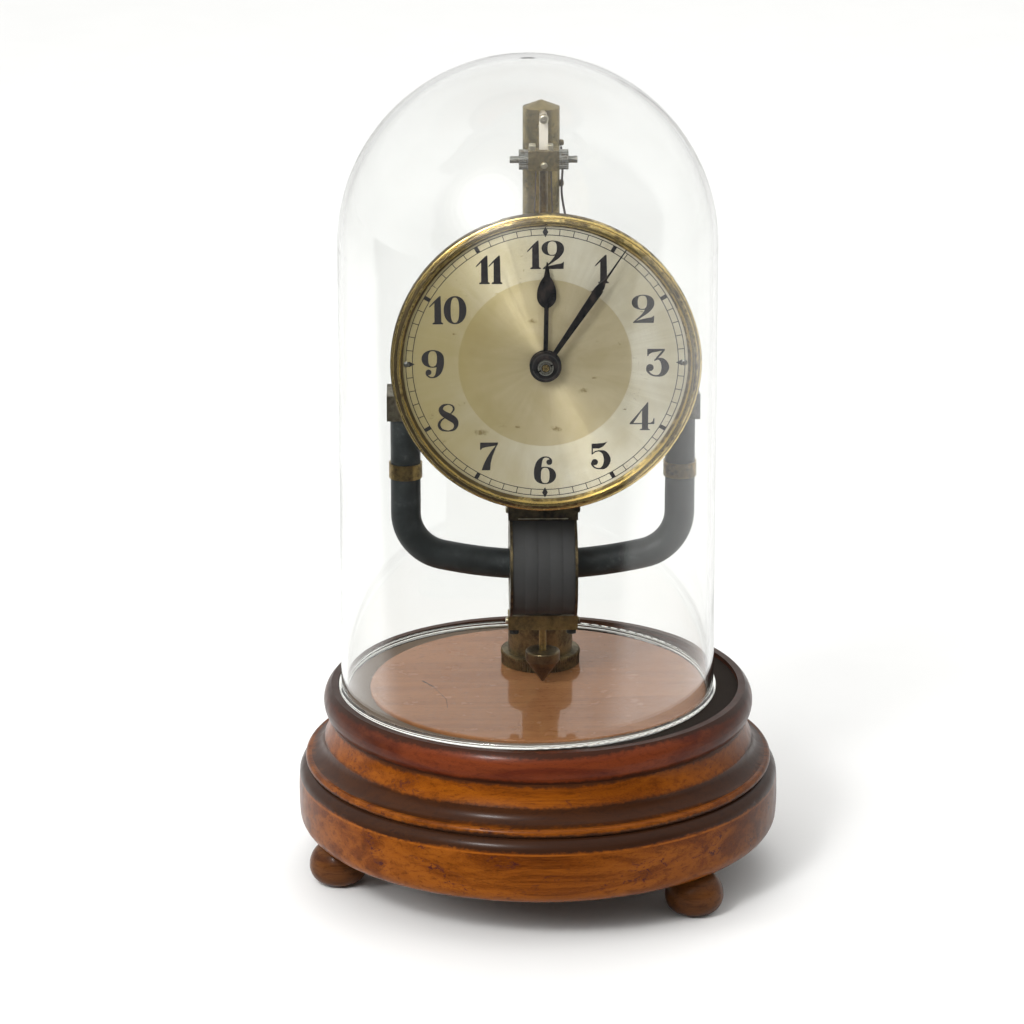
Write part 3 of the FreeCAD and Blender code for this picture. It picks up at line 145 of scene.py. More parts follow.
# ---- node graphs
class Nodes:
    """A node tree built one call per node. A value is a socket, a number, a vector or a colour."""

    def __init__(self, tree):
        self.tree = tree
        tree.nodes.clear()

    def wire(self, socket, value):
        if isinstance(value, bpy.types.NodeSocket):
            self.tree.links.new(value, socket)
        elif hasattr(value, "__len__") and len(value) == 3 and len(socket.default_value) == 4:
            socket.default_value = (*value, 1)
        else:
            socket.default_value = value

    def vector(self, operation, a, b=None, scale=None):
        item = self.tree.nodes.new("ShaderNodeVectorMath")
        item.operation = operation
        self.wire(item.inputs[0], a)
        if b is not None:
            self.wire(item.inputs[1], b)
        if scale is not None:
            self.wire(item.inputs["Scale"], scale)
        return item.outputs["Value" if operation in ("LENGTH", "DOT_PRODUCT") else "Vector"]

    def math(self, operation, a, b=0.0, clamp=False):
        item = self.tree.nodes.new("ShaderNodeMath")
        item.operation = operation
        item.use_clamp = clamp
        self.wire(item.inputs[0], a)
        self.wire(item.inputs[1], b)
        return item.outputs[0]

    def times(self, a, b, clamp=False):
        return self.math("MULTIPLY", a, b, clamp)

    def plus(self, a, b):
        return self.math("ADD", a, b)

    def minus(self, a, b):
        return self.math("SUBTRACT", a, b)

    def axes(self, vector):
        item = self.tree.nodes.new("ShaderNodeSeparateXYZ")
        self.wire(item.inputs[0], vector)
        return item.outputs

    def join(self, x, y, z):
        item = self.tree.nodes.new("ShaderNodeCombineXYZ")
        for socket, value in zip(item.inputs, (x, y, z)):
            self.wire(socket, value)
        return item.outputs[0]

    def noise(self, vector, frequency, detail=2, roughness=0.5, distortion=0.0, stretch=None):
        """Soft noise from 0 to 1; frequency is in turns per millimetre."""
        if stretch is not None:
            vector = self.vector("MULTIPLY", vector, stretch)
        item = self.tree.nodes.new("ShaderNodeTexNoise")
        self.wire(item.inputs["Vector"], vector)
        settings = {"Scale": frequency, "Detail": detail, "Roughness": roughness, "Distortion": distortion}
        for socket, number in settings.items():
            item.inputs[socket].default_value = number
        return item.outputs["Fac"]

    def waves(self, value, length):
        """Sine ripple from 0 to 1 along a length in millimetres."""
        angle = self.times(value, 2 * math.pi / length)
        return self.plus(self.times(self.math("SINE", angle), 0.5), 0.5)

    def step(self, value, low, high, start=0.0, end=1.0):
        """Smooth change from start to end as value goes from low to high."""
        item = self.tree.nodes.new("ShaderNodeMapRange")
        item.interpolation_type = "SMOOTHSTEP"
        settings = {"Value": value, "From Min": low, "From Max": high, "To Min": start, "To Max": end}
        for socket, number in settings.items():
            self.wire(item.inputs[socket], number)
        return item.outputs[0]

    def band(self, value, low, high, soft):
        """1 between low and high, 0 outside, over soft edges."""
        rise = self.step(value, low - soft, low + soft)
        fall = self.step(value, high - soft, high + soft, 1.0, 0.0)
        return self.times(rise, fall)

    def mix(self, factor, a, b):
        item = self.tree.nodes.new("ShaderNodeMix")
        item.data_type = "RGBA"
        self.wire(item.inputs[0], factor)
        self.wire(item.inputs[6], a)
        self.wire(item.inputs[7], b)
        return item.outputs[2]


class Graph(Nodes):
    """One procedural material. Lengths in it are millimetres in the clock's own frame."""

    def __init__(self, name):
        self.material = bpy.data.materials.new(name)
        self.material.use_nodes = True
        super().__init__(self.material.node_tree)
        self.shader = self.tree.nodes.new("ShaderNodeBsdfPrincipled")
        output = self.tree.nodes.new("ShaderNodeOutputMaterial")
        self.tree.links.new(self.shader.outputs[0], output.inputs["Surface"])

    def put(self, name, value):
        self.wire(self.shader.inputs[name], value)

    def bump(self, height, distance, strength=1.0):
        item = self.tree.nodes.new("ShaderNodeBump")
        item.inputs["Strength"].default_value = strength
        item.inputs["Distance"].default_value = distance * MM
        self.wire(item.inputs["Height"], height)
        self.put("Normal", item.outputs[0])

    def away(self, vector, centre):
        """Offset from a centre that is given in metres."""
        return self.vector("SUBTRACT", vector, [c / MM for c in centre])

    def radial(self, vector, centre, axis):
        """Distance from an axis through centre."""
        flat = [0.0 if letter == axis else 1.0 for letter in "XYZ"]
        return self.vector("LENGTH", self.vector("MULTIPLY", self.away(vector, centre), flat))


def new_material(name):
    """A material's graph, and the place on the piece in millimetres."""
    graph = Graph(name)
    coordinates = graph.tree.nodes.new("ShaderNodeTexCoord")
    return graph, graph.vector("SCALE", coordinates.outputs["Object"], scale=1 / MM)


# ---- mesh helpers
def mesh_piece(name, points, faces, material, smooth=False):
    mesh = bpy.data.meshes.new(name)
    mesh.from_pydata([tuple(point) for point in points], [], faces)
    mesh.validate()
    mesh.shade_smooth() if smooth else mesh.shade_flat()
    mesh.materials.append(material)
    piece = bpy.data.objects.new(name, mesh)
    bpy.context.collection.objects.link(piece)
    return piece


def disc_faces(radius, count):
    points = [(radius * math.cos(2 * math.pi * i / count), radius * math.sin(2 * math.pi * i / count), 0)
              for i in range(count)]
    return points, [list(range(count))]


def lathe(name, outline, centre, axis, material, count=96, closed=False, wobble=None):
    """Surface turned round an axis through centre. The outline is (radius, along) in metres."""
    points = []
    for radius, along in outline:
        for i in range(count):
            angle = 2 * math.pi * i / count
            out = radius * (1 + (wobble(angle, along) if wobble else 0.0))
            across, up = out * math.cos(angle), out * math.sin(angle)
            offset = {"X": (along, across, up), "Y": (across, along, up), "Z": (across, up, along)}[axis]
            points.append(centre + Vector(offset))
    rings = len(outline)
    faces = []
    for ring in range(rings if closed else rings - 1):
        following = (ring + 1) % rings
        for i in range(count):
            j = (i + 1) % count
            faces.append((ring * count + i, ring * count + j, following * count + j, following * count + i))
    piece = mesh_piece(name, points, faces, material, True)
    outward(piece)
    return piece


def outward(piece):
    """Turn every face's front to the outside."""
    mesh = bmesh.new()
    mesh.from_mesh(piece.data)
    bmesh.ops.recalc_face_normals(mesh, faces=mesh.faces)
    mesh.to_mesh(piece.data)
    mesh.free()


def tube(name, points, radius, material):
    """Round wire along a smooth curve through given points, in metres."""
    curve = bpy.data.curves.new(name, "CURVE")
    curve.dimensions = "3D"
    curve.bevel_depth = radius
    curve.bevel_resolution = 2
    curve.use_fill_caps = True
    spline = curve.splines.new("NURBS")
    spline.points.add(len(points) - 1)
    for knot, point in zip(spline.points, points):
        knot.co = (*point, 1)
    spline.order_u = 3
    spline.use_endpoint_u = True
    curve.materials.append(material)
    wire = bpy.data.objects.new(name, curve)
    bpy.context.collection.objects.link(wire)
    return wire


# ---- materials
WOOD_DARK = (0.022, 0.010, 0.006)
# painted highlights and shade on the turned rings of the bezel, made by less or more patina: (inner radius,
# outer radius, more or less patina), millimetres
BEZEL_LIGHT_AND_SHADE_RINGS = ((69.25, 71.0, 0.14), (68.2, 69.1, -0.14), (66.6, 68.0, 0.12), (65.2, 66.4, -0.16),
               (60.0, 64.9, 0.16))
# rust spots on the dial: (across, up, size) from its centre, millimetres
RUST_SPOTS = ((-6.0, 20.0, 1.6), (17.5, -13.0, 1.7), (22.0, -7.0, 0.9), (5.0, -31.0, 2.0),
              (-29.0, -32.5, 2.4), (-12.5, -30.0, 1.0), (36.0, -22.0, 0.7), (-41.0, 14.0, 0.7))


def wood(name, light, deep, dark_bands=(), blotch=0.5, gloss=0.16, streaks=1.0,
         relief_depth=0.03, worn=(), shade=(), scars=(), coat=0.32):
    """Polished mahogany cut from planks whose grain runs along X, with darker bands at given heights.

    shade paints the wood darker towards one side, whatever the light: start and end along X, strength.
    """
    graph, place = new_material(name)
    wander = graph.noise(place, 0.02, 2)
    figure = graph.noise(place, 0.055, 4, 0.55, 1.2, stretch=(0.12, 1.0, 1.6))
    streak = graph.noise(place, 0.45, 4, 0.6, 0.6, stretch=(0.05, 1.0, 1.3))
    fibre = graph.noise(place, 2.6, 3, 0.65, 0.2, stretch=(0.05, 1.0, 1.2))
    pores = graph.noise(place, 3.4, 2, 0.5, 0.0, stretch=(0.10, 1.0, 1.4))
    tone = graph.mix(graph.step(figure, 0.36, 0.66), light, deep)
    lines = graph.times(graph.step(streak, 0.48, 0.68), 0.55 * streaks)
    tone = graph.mix(lines, tone, [c * 0.45 for c in deep])
    tone = graph.mix(graph.times(graph.step(fibre, 0.35, 0.75), 0.30), tone, [c * 1.35 for c in light])
    tone = graph.mix(graph.times(graph.step(pores, 0.60, 0.72), 0.65), tone, WOOD_DARK)
    patches = graph.step(graph.noise(place, 0.040, 3, 0.6, 0.8, stretch=(0.7, 1, 1.5)), 0.50, 0.62)
    spots = graph.step(graph.noise(place, 0.30, 4, 0.72, 1.2, stretch=(0.55, 1, 1.2)), 0.52, 0.62)
    marks = graph.times(graph.times(patches, spots), blotch, clamp=True)
    tone = graph.mix(marks, tone, (0.045, 0.012, 0.010))
    height = graph.axes(place)[2]
    ragged = graph.plus(graph.times(wander, 4.0), graph.times(graph.noise(place, 0.35, 4, 0.7), 3.4))
    uneven = graph.plus(height, graph.minus(ragged, 3.7))
    # dark bands: partly stain, partly painted shade and dark reflection in the grooves and undercuts and on
    # the upward faces of the mouldings
    for low, high, soft, strength in dark_bands:
        stain_and_shade = graph.times(graph.band(uneven, low, high, soft), strength)
        tone = graph.mix(stain_and_shade, tone, WOOD_DARK)
    # worn bands: lighter edges, partly rubbed wear and partly a painted highlight where the edge would catch
    # light
    for low, high, soft, strength in worn:
        rubbed = graph.times(graph.band(height, low, high, soft), graph.step(streak, 0.40, 0.56, 0.25, 1.0))
        tone = graph.mix(graph.times(rubbed, strength), tone, [c * 1.45 for c in light])
    for (x0, y0), (x1, y1), width in scars:
        along = Vector((x1 - x0, y1 - y0, 0))
        start = graph.vector("SUBTRACT", graph.vector("MULTIPLY", place, (1, 1, 0)), (x0, y0, 0))
        reach = graph.vector("DOT_PRODUCT", start, along)
        run = graph.math("DIVIDE", reach, along.length_squared, clamp=True)
        nearest = graph.vector("SCALE", tuple(along), scale=run)
        off = graph.vector("LENGTH", graph.vector("SUBTRACT", start, nearest))
        off = graph.plus(off, graph.times(graph.noise(place, 0.6, 3), width * 1.5))
        tone = graph.mix(graph.step(off, width, width * 1.6, 0.8, 0.0), tone, (0.02, 0.008, 0.006))
    for start, end, strength in shade:
        dimmed = graph.step(graph.axes(place)[0], start, end, 0.0, strength)
        tone = graph.mix(graph.times(dimmed, graph.step(wander, 0.2, 0.6, 0.6, 1.0)), tone, WOOD_DARK)
    graph.put("Base Color", tone)
    rough = graph.noise(place, 0.12, 3)
    graph.put("Roughness", graph.step(rough, 0.25, 0.8, gloss + 0.12, gloss + 0.26))
    graph.put("Specular IOR Level", 0.03)
    graph.put("Coat Weight", coat)
    graph.put("Coat Roughness", gloss)
    graph.put("Coat IOR", 1.33)
    relief = graph.plus(graph.times(pores, -0.5), graph.times(rough, 0.8))
    graph.bump(relief, relief_depth, 0.3)
    return graph.material


def brass(name, bright, patina, centre=None, axis="Z", cover=0.8, rough=0.3, lathe_lines=0.0,
          side=None, rings=()):
    """Old brass: bright metal under patches of brown and green-grey patina."""
    graph, place = new_material(name)
    broad = graph.noise(place, 0.07, 4, 0.6, 0.6)
    fine = graph.noise(place, 0.55, 4, 0.65)
    stain = graph.plus(graph.times(broad, 0.62), graph.times(fine, 0.38))
    # side: painted shade, more patina and so darker metal towards -X, less towards +X
    if side is not None:
        across = graph.axes(graph.away(place, centre))[0]
        stain = graph.plus(stain, graph.step(across, -side, side, 0.11, -0.05))
    # rings: painted highlights and shade on a turned profile, given as less or more patina by radius
    for low, high, weight in rings:
        ring = graph.band(graph.radial(place, centre, axis), low, high, 0.25)
        stain = graph.plus(stain, graph.times(ring, weight))
    worn = graph.step(stain, 0.55 - 0.22 * cover, 0.83 - 0.22 * cover)
    tone = graph.mix(worn, bright, patina)
    specks = graph.step(graph.noise(place, 1.6, 2, 0.6), 0.64, 0.74)
    tone = graph.mix(graph.times(specks, 0.55), tone, [c * 0.30 for c in patina])
    graph.put("Base Color", tone)
    graph.put("Metallic", 1.0)
    graph.put("Roughness", graph.step(stain, 0.40, 0.72, rough, rough + 0.26))
    relief = graph.times(fine, 0.6)
    if lathe_lines:
        radius = graph.radial(place, centre, axis)
        along = graph.axes(place)["XYZ".index(axis)]
        relief = graph.plus(relief, graph.waves(graph.plus(radius, along), lathe_lines))
    graph.bump(relief, 0.02, 0.5)
    return graph.material


def steel(name, tone=(0.46, 0.45, 0.42), rough=0.3, rust=0.3):
    graph, place = new_material(name)
    stain = graph.noise(place, 0.6, 4, 0.65, 0.4)
    worn = graph.step(stain, 0.66 - 0.2 * rust, 0.80 - 0.2 * rust)
    graph.put("Base Color", graph.mix(worn, tone, (0.13, 0.09, 0.055)))
    graph.put("Metallic", 1.0)
    graph.put("Roughness", graph.step(stain, 0.3, 0.7, rough, rough + 0.2))
    graph.bump(graph.noise(place, 3.0, 3, 0.6, stretch=(1, 1, 0.2)), 0.02, 0.4)
    return graph.material


def nut_steel():
    """Turned steel nut, its shape painted by radius: painted highlights on the chamfers and the arbor's end,
    painted shade in the recess, the slot and a notch.
    """
    graph, place = new_material("nut_steel")
    offset = graph.away(place, DIAL)
    radius = graph.radial(place, DIAL, "Y")
    stain = graph.noise(place, 1.3, 4, 0.65)
    tone = graph.mix(graph.step(stain, 0.42, 0.66), (0.40, 0.40, 0.35), (0.20, 0.19, 0.15))
    # painted highlights on two chamfers and the arbor's end, painted shade in the recess between them
    tone = graph.mix(graph.band(radius, 3.1, 3.5, 0.1), tone, (0.66, 0.66, 0.60))
    tone = graph.mix(graph.band(radius, 1.0, 1.95, 0.08), tone, (0.018, 0.018, 0.016))
    tone = graph.mix(graph.band(radius, 2.0, 2.2, 0.06), tone, (0.60, 0.60, 0.55))
    tone = graph.mix(graph.band(radius, -1.0, 0.85, 0.06), tone, (0.62, 0.60, 0.52))
    # painted shade: a dark slot across the arbor's end and a dark notch in the nut
    x, _, z = graph.axes(offset)
    slot = graph.times(graph.band(graph.plus(x, graph.times(z, 0.35)), -0.17, 0.17, 0.03),
                      graph.step(radius, 0.85, 0.95, 1.0, 0.0))
    notch = graph.times(graph.band(graph.minus(z, graph.times(x, 0.5)), -0.35, 0.35, 0.05),
                       graph.band(radius, 2.3, 4.0, 0.05))
    tone = graph.mix(graph.math("MAXIMUM", slot, notch), tone, (0.02, 0.02, 0.018))
    graph.put("Base Color", tone)
    graph.put("Metallic", 1.0)
    graph.put("Roughness", graph.step(stain, 0.3, 0.7, 0.26, 0.42))
    graph.bump(graph.times(graph.waves(radius, 0.25), graph.minus(1.0, slot)), 0.02, 0.4)
    return graph.material


def hand_black():
    """Blued-black hands with a fine raised line round the boss, painted lighter as a highlight, and browned
    blades.
    """
    graph, place = new_material("hand_black")
    radius = graph.radial(place, DIAL, "Y")
    bloom = graph.noise(place, 0.35, 4, 0.65, stretch=(1, 1, 0.5))
    tone = graph.mix(graph.step(bloom, 0.45, 0.68), (0.007, 0.007, 0.008), (0.030, 0.022, 0.019))
    # painted highlight: a lighter ring along the raised line round the boss
    tone = graph.mix(graph.band(radius, 5.6, 6.0, 0.12), tone, (0.045, 0.045, 0.043))
    graph.put("Base Color", tone)
    graph.put("Roughness", graph.step(bloom, 0.3, 0.7, 0.26, 0.4))
    graph.put("Specular IOR Level", 0.35)
    graph.bump(graph.plus(graph.band(radius, 5.5, 6.1, 0.15), graph.times(bloom, 0.3)), 0.04, 0.6)
    return graph.material


def black_lacquer():
    """Black japanned metal, dulled, with a few rubbed places."""
    graph, place = new_material("black_lacquer")
    wear = 0.35
    dust = graph.noise(place, 0.09, 4, 0.6, 0.5)
    rubbed = graph.step(graph.noise(place, 0.8, 4, 0.7, 0.5), 0.66, 0.78)
    base = graph.mix(graph.step(dust, 0.35, 0.75), (0.009, 0.011, 0.011), (0.0189, 0.0231, 0.0231))
    powder = graph.step(graph.noise(place, 0.5, 4, 0.7), 0.45, 0.7)
    chalk = graph.times(graph.step(dust, 0.54, 0.66), powder)
    base = graph.mix(graph.times(chalk, wear), base, (0.07, 0.075, 0.075))
    graph.put("Base Color", graph.mix(graph.times(rubbed, wear), base, (0.075, 0.065, 0.05)))
    graph.put("Roughness", graph.step(dust, 0.3, 0.75, 0.34, 0.52))
    graph.put("Specular IOR Level", 0.22)
    graph.bump(graph.noise(place, 0.9, 4, 0.6), 0.03, 0.3)
    return graph.material


def ink():
    """Black printing ink, a little uneven where it is worn thin."""
    graph, place = new_material("dial_ink")
    thin = graph.noise(place, 0.9, 4, 0.65)
    paler_mask = graph.step(thin, 0.45, 0.8)
    graph.put("Base Color", graph.mix(paler_mask, (0.012, 0.010, 0.012), (0.040, 0.036, 0.030)))
    graph.put("Roughness", graph.step(thin, 0.3, 0.7, 0.42, 0.6))
    graph.bump(thin, 0.01, 0.4)
    return graph.material


def dial_metal():
    """Silvered brass spun in fine circles, with a browner middle zone and a few tarnish marks."""
    graph, place = new_material("dial_silver")
    offset = graph.away(place, DIAL)
    radius = graph.radial(place, DIAL, "Y")
    inner_zone = graph.step(radius, 38.8, 39.4, 1.0, 0.0)
    cloud = graph.noise(place, 0.035, 4, 0.6, 0.5)
    silver = graph.mix(graph.step(cloud, 0.35, 0.7), (0.90, 0.855, 0.69), (0.78, 0.715, 0.52))
    middle_tone = graph.mix(graph.step(cloud, 0.35, 0.7), (0.70, 0.61, 0.40), (0.58, 0.49, 0.29))
    tone = graph.mix(inner_zone, silver, middle_tone)
    turning = graph.noise(graph.join(radius, 0.0, 0.0), 2.2, 5, 0.7)
    tone = graph.mix(graph.times(graph.step(turning, 0.3, 0.8), 0.22), tone, (0.36, 0.30, 0.19))
    edge_light = graph.step(radius, 57.0, 64.0, 0.0, 0.35)
    tone = graph.mix(edge_light, tone, (0.84, 0.79, 0.64))
    outwards = graph.vector("NORMALIZE", graph.vector("MULTIPLY", offset, (1, 0, 1)))
    spread = graph.vector("ADD", outwards, graph.vector("SCALE", offset, scale=0.0006))
    rays = graph.noise(spread, 9.0, 5, 0.72)
    tone = graph.mix(graph.step(rays, 0.40, 0.62, 0.16, 0.0), tone, (0.45, 0.38, 0.22))
    # the left side is painted browner, whatever the light
    across = graph.axes(offset)[0]
    tone = graph.mix(graph.step(across, -60.0, 15.0, 0.72, 0.0), tone, (0.45, 0.35, 0.10))
    patches = graph.step(graph.noise(place, 0.06, 2, 0.5), 0.57, 0.68)
    spots = graph.step(graph.noise(place, 0.55, 3, 0.7, 1.2, stretch=(0.6, 1, 1)), 0.62, 0.70)
    tone = graph.mix(graph.times(graph.times(patches, spots), 0.75), tone, (0.22, 0.15, 0.05))
    for x, z, size in RUST_SPOTS:
        from_spot = graph.vector("SUBTRACT", offset, (x, 0, z))
        near = graph.vector("LENGTH", graph.vector("MULTIPLY", from_spot, (0.45, 0, 1)))
        ragged = graph.plus(near, graph.times(graph.noise(place, 0.9, 3, 0.7), size * 2.2))
        tone = graph.mix(graph.step(ragged, size * 1.2, size * 1.8, 0.7, 0.0), tone, (0.20, 0.13, 0.035))
    graph.put("Base Color", tone)
    graph.put("Metallic", 0.62)
    graph.put("Specular IOR Level", 0.2)
    graph.put("Roughness", graph.minus(graph.step(turning, 0.2, 0.8, 0.36, 0.44),
                                      graph.step(rays, 0.46, 0.66, 0.0, 0.10)))
    graph.put("Anisotropic", 0.9)
    graph.put("Tangent", outwards)
    graph.bump(turning, 0.006, 0.3)
    return graph.material


def glass_blown():
    graph, place = new_material("glass")
    cloud = graph.noise(place, 0.02, 2)
    graph.put("Base Color", graph.mix(cloud, (0.962, 0.966, 0.958), (0.946, 0.954, 0.945)))
    graph.put("Transmission Weight", 1.0)
    graph.put("Roughness", 0.0)
    graph.put("IOR", 1.5)
    graph.bump(graph.noise(place, 0.018, 2, 0.4), 1.0, 0.12)
    return graph.material


def woven(name, tone, shadow, thread, fuzz=0.4):
    """Plain weave; thread is the width of one thread in millimetres."""
    graph, place = new_material(name)
    x, y, z = graph.axes(place)
    over = graph.waves(graph.plus(x, y), thread * 2)
    under = graph.waves(z, thread * 2)
    weave = graph.math("ABSOLUTE", graph.minus(over, under))
    slub = graph.noise(place, 1.2, 3, 0.6)
    tone_now = graph.mix(graph.step(weave, 0.1, 0.8), shadow, tone)
    graph.put("Base Color", graph.mix(graph.times(slub, 0.4), tone_now, shadow))
    graph.put("Roughness", graph.step(slub, 0.3, 0.7, 0.7, 0.9))
    graph.put("Sheen Weight", fuzz)
    graph.put("Sheen Roughness", 0.4)
    graph.bump(weave, thread * 0.4, 0.7)
    return graph.material


def felt_cloth():
    graph, place = new_material("felt")
    fibres = graph.noise(place, 2.0, 4, 0.7, 1.5)
    dust = graph.step(graph.noise(place, 0.35, 4, 0.7), 0.58, 0.75)
    tone = graph.mix(fibres, (0.008, 0.006, 0.005), (0.022, 0.016, 0.012))
    # paler brown within 84.2 mm of the dome's axis, darker beyond
    paler_mask = graph.step(graph.radial(place, middle("glass_dome"), "Z"), 84.2, 85.6, 0.9, 0.0)
    tone = graph.mix(paler_mask, tone, graph.mix(fibres, (0.10, 0.075, 0.055), (0.17, 0.13, 0.095)))
    graph.put("Base Color", graph.mix(graph.times(dust, 0.3), tone, (0.05, 0.04, 0.03)))
    graph.put("Roughness", graph.step(fibres, 0.3, 0.7, 0.85, 0.95))
    graph.put("Specular IOR Level", 0.1)
    graph.bump(fibres, 0.25, 0.8)
    return graph.material


def winding_tape():
    """Black varnished tape over the wire: turns lie round the coil, with a faint olive sheen."""
    graph, place = new_material("winding")
    x = graph.axes(place)[0]
    turns = graph.waves(x, 0.32)
    cloud = graph.noise(place, 0.16, 4, 0.6, stretch=(1.6, 0.5, 0.5))
    tone = graph.mix(graph.step(cloud, 0.35, 0.7), (0.003, 0.0035, 0.0035), (0.008, 0.008, 0.007))
    graph.put("Base Color", tone)
    graph.put("Roughness", graph.step(cloud, 0.3, 0.7, 0.42, 0.58))
    graph.put("Specular IOR Level", 0.003)
    graph.bump(graph.plus(turns, graph.times(cloud, 1.5)), 0.03, 0.5)
    return graph.material


def cell_sleeve():
    """Plain two-colour card sleeve of a dry cell, with no print on it."""
    graph, place = new_material("cell_jacket")
    x = graph.axes(place)[0]
    scuff = graph.noise(place, 0.4, 4, 0.7)
    stripe = graph.step(x, 8.0, 8.4)
    tone = graph.mix(stripe, (0.05, 0.08, 0.16), (0.50, 0.36, 0.12))
    tone = graph.mix(graph.times(graph.step(scuff, 0.6, 0.75), 0.5), tone, (0.42, 0.40, 0.36))
    graph.put("Base Color", tone)
    graph.put("Roughness", graph.step(scuff, 0.3, 0.7, 0.35, 0.55))
    graph.bump(scuff, 0.03, 0.3)
    return graph.material


def paint_nodes(material, *names):
    for name in names:
        slots = NODES[name].data.materials
        for index in range(len(slots)):
            slots[index] = material


# ---- dial art
PRINT_THICKNESS = 0.05 * MM
SPAN_STEPS = 8


def plate_from(shapes):
    """Joins overlapping flat shapes into one clean outline: points and the triangles inside it."""
    points = []
    loops = []
    for shape in shapes:
        turn = sum(a[0] * b[1] - b[0] * a[1] for a, b in zip(shape, shape[1:] + shape[:1]))
        loops.append(list(range(len(points), len(points) + len(shape))))
        points += [Vector(point) for point in (shape if turn > 0 else shape[::-1])]
    flat, _, triangles, _, _, owners = geometry.delaunay_2d_cdt(points, [], loops, 1, 1e-6)
    return flat, [tri for tri, owner in zip(triangles, owners) if owner]


def printed(name, shapes, to_place, material):
    """Thin raised print on the dial; to_place turns a flat point into its place on the dial's face."""
    flat, triangles = plate_from(shapes)
    count = len(flat)
    front, rear = DIAL_FACE - PRINT_THICKNESS, DIAL_FACE + PRINT_THICKNESS * 0.2
    points = [to_place(p, front) for p in flat] + [to_place(p, rear) for p in flat]
    edges = {}
    for a, b, c in triangles:
        for edge in ((a, b), (b, c), (c, a)):
            edges[edge] = True
    faces = [tuple(tri) for tri in triangles]
    faces += [(b, a, a + count, b + count) for a, b in edges if (b, a) not in edges]
    faces += [(c + count, b + count, a + count) for a, b, c in triangles]
    piece = mesh_piece(name, points, faces, material)
    outward(piece)
    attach(piece, "base_and_frame")
    return piece


def on_dial(across, up, size):
    """Placing for flat shapes drawn in units of size about a point of the dial."""
    return lambda p, y: (DIAL.x + across + p.x * size, y, DIAL.z + up + p.y * size)


def smooth_run(points):
    """Catmull-Rom curve through points of any dimension."""
    padded = [points[0]] + list(points) + [points[-1]]
    run = []
    for a, b, c, d in zip(padded, padded[1:], padded[2:], padded[3:]):
        for step in range(SPAN_STEPS):
            t = step / SPAN_STEPS
            run.append(tuple(
                0.5 * (2 * q + (r - p) * t + (2 * p - 5 * q + 4 * r - s) * t * t
                       + (3 * q - p - 3 * r + s) * t ** 3)
                for p, q, r, s in zip(a, b, c, d)))
    run.append(tuple(points[-1]))
    return run


def stroke(*points):
    """Pen stroke through (x, y, width) points."""
    run = smooth_run(points)
    left, right = [], []
    for index, (x, y, width) in enumerate(run):
        before, after = run[max(index - 1, 0)], run[min(index + 1, len(run) - 1)]
        along = Vector((after[0] - before[0], after[1] - before[1])).normalized()
        left.append((x - along.y * width / 2, y + along.x * width / 2))
        right.append((x + along.y * width / 2, y - along.x * width / 2))
    return left + right[::-1]


def ellipse(x, y, a, b, power=2.0, start=0.0, end=360.0, count=48):
    """Part of a rounded, somewhat square oval where power is above 2."""
    run = []
    for i in range(count + 1):
        angle = math.radians(start + (end - start) * i / count)
        c, s = math.cos(angle), math.sin(angle)
        run.append((x + a * math.copysign(abs(c) ** (2 / power), c),
                    y + b * math.copysign(abs(s) ** (2 / power), s)))
    return run


def ball(x, y, radius):
    return ellipse(x, y, radius, radius, count=23)


def bowl(x, y, a, b, inner_x, inner_a, inner_b):
    """Oval ring, drawn as two halves, whose inner oval is narrower and squarer."""
    halves = []
    for low, high in ((0.0, 180.0), (180.0, 360.0)):
        outside = ellipse(x, y, a, b, 2.1, low, high, 24)
        inside = ellipse(inner_x, y, inner_a, inner_b, 2.6, low, high, 24)
        halves.append(outside + inside[::-1])
    return halves


def turn_round(shapes, width):
    """The same shapes upside down, inside a unit height."""
    return [[(width - x, 1 - y) for x, y in shape] for shape in shapes]


def six():
    return [
        *bowl(0.381, 0.31, 0.381, 0.315, 0.386, 0.149, 0.275),
        stroke((0.12, 0.30, 0.24), (0.125, 0.52, 0.245), (0.175, 0.76, 0.20), (0.27, 0.92, 0.10),
               (0.38, 0.975, 0.045), (0.50, 0.955, 0.05), (0.59, 0.87, 0.055), (0.605, 0.80, 0.04)),
        ball(0.525, 0.79, 0.10),
    ]


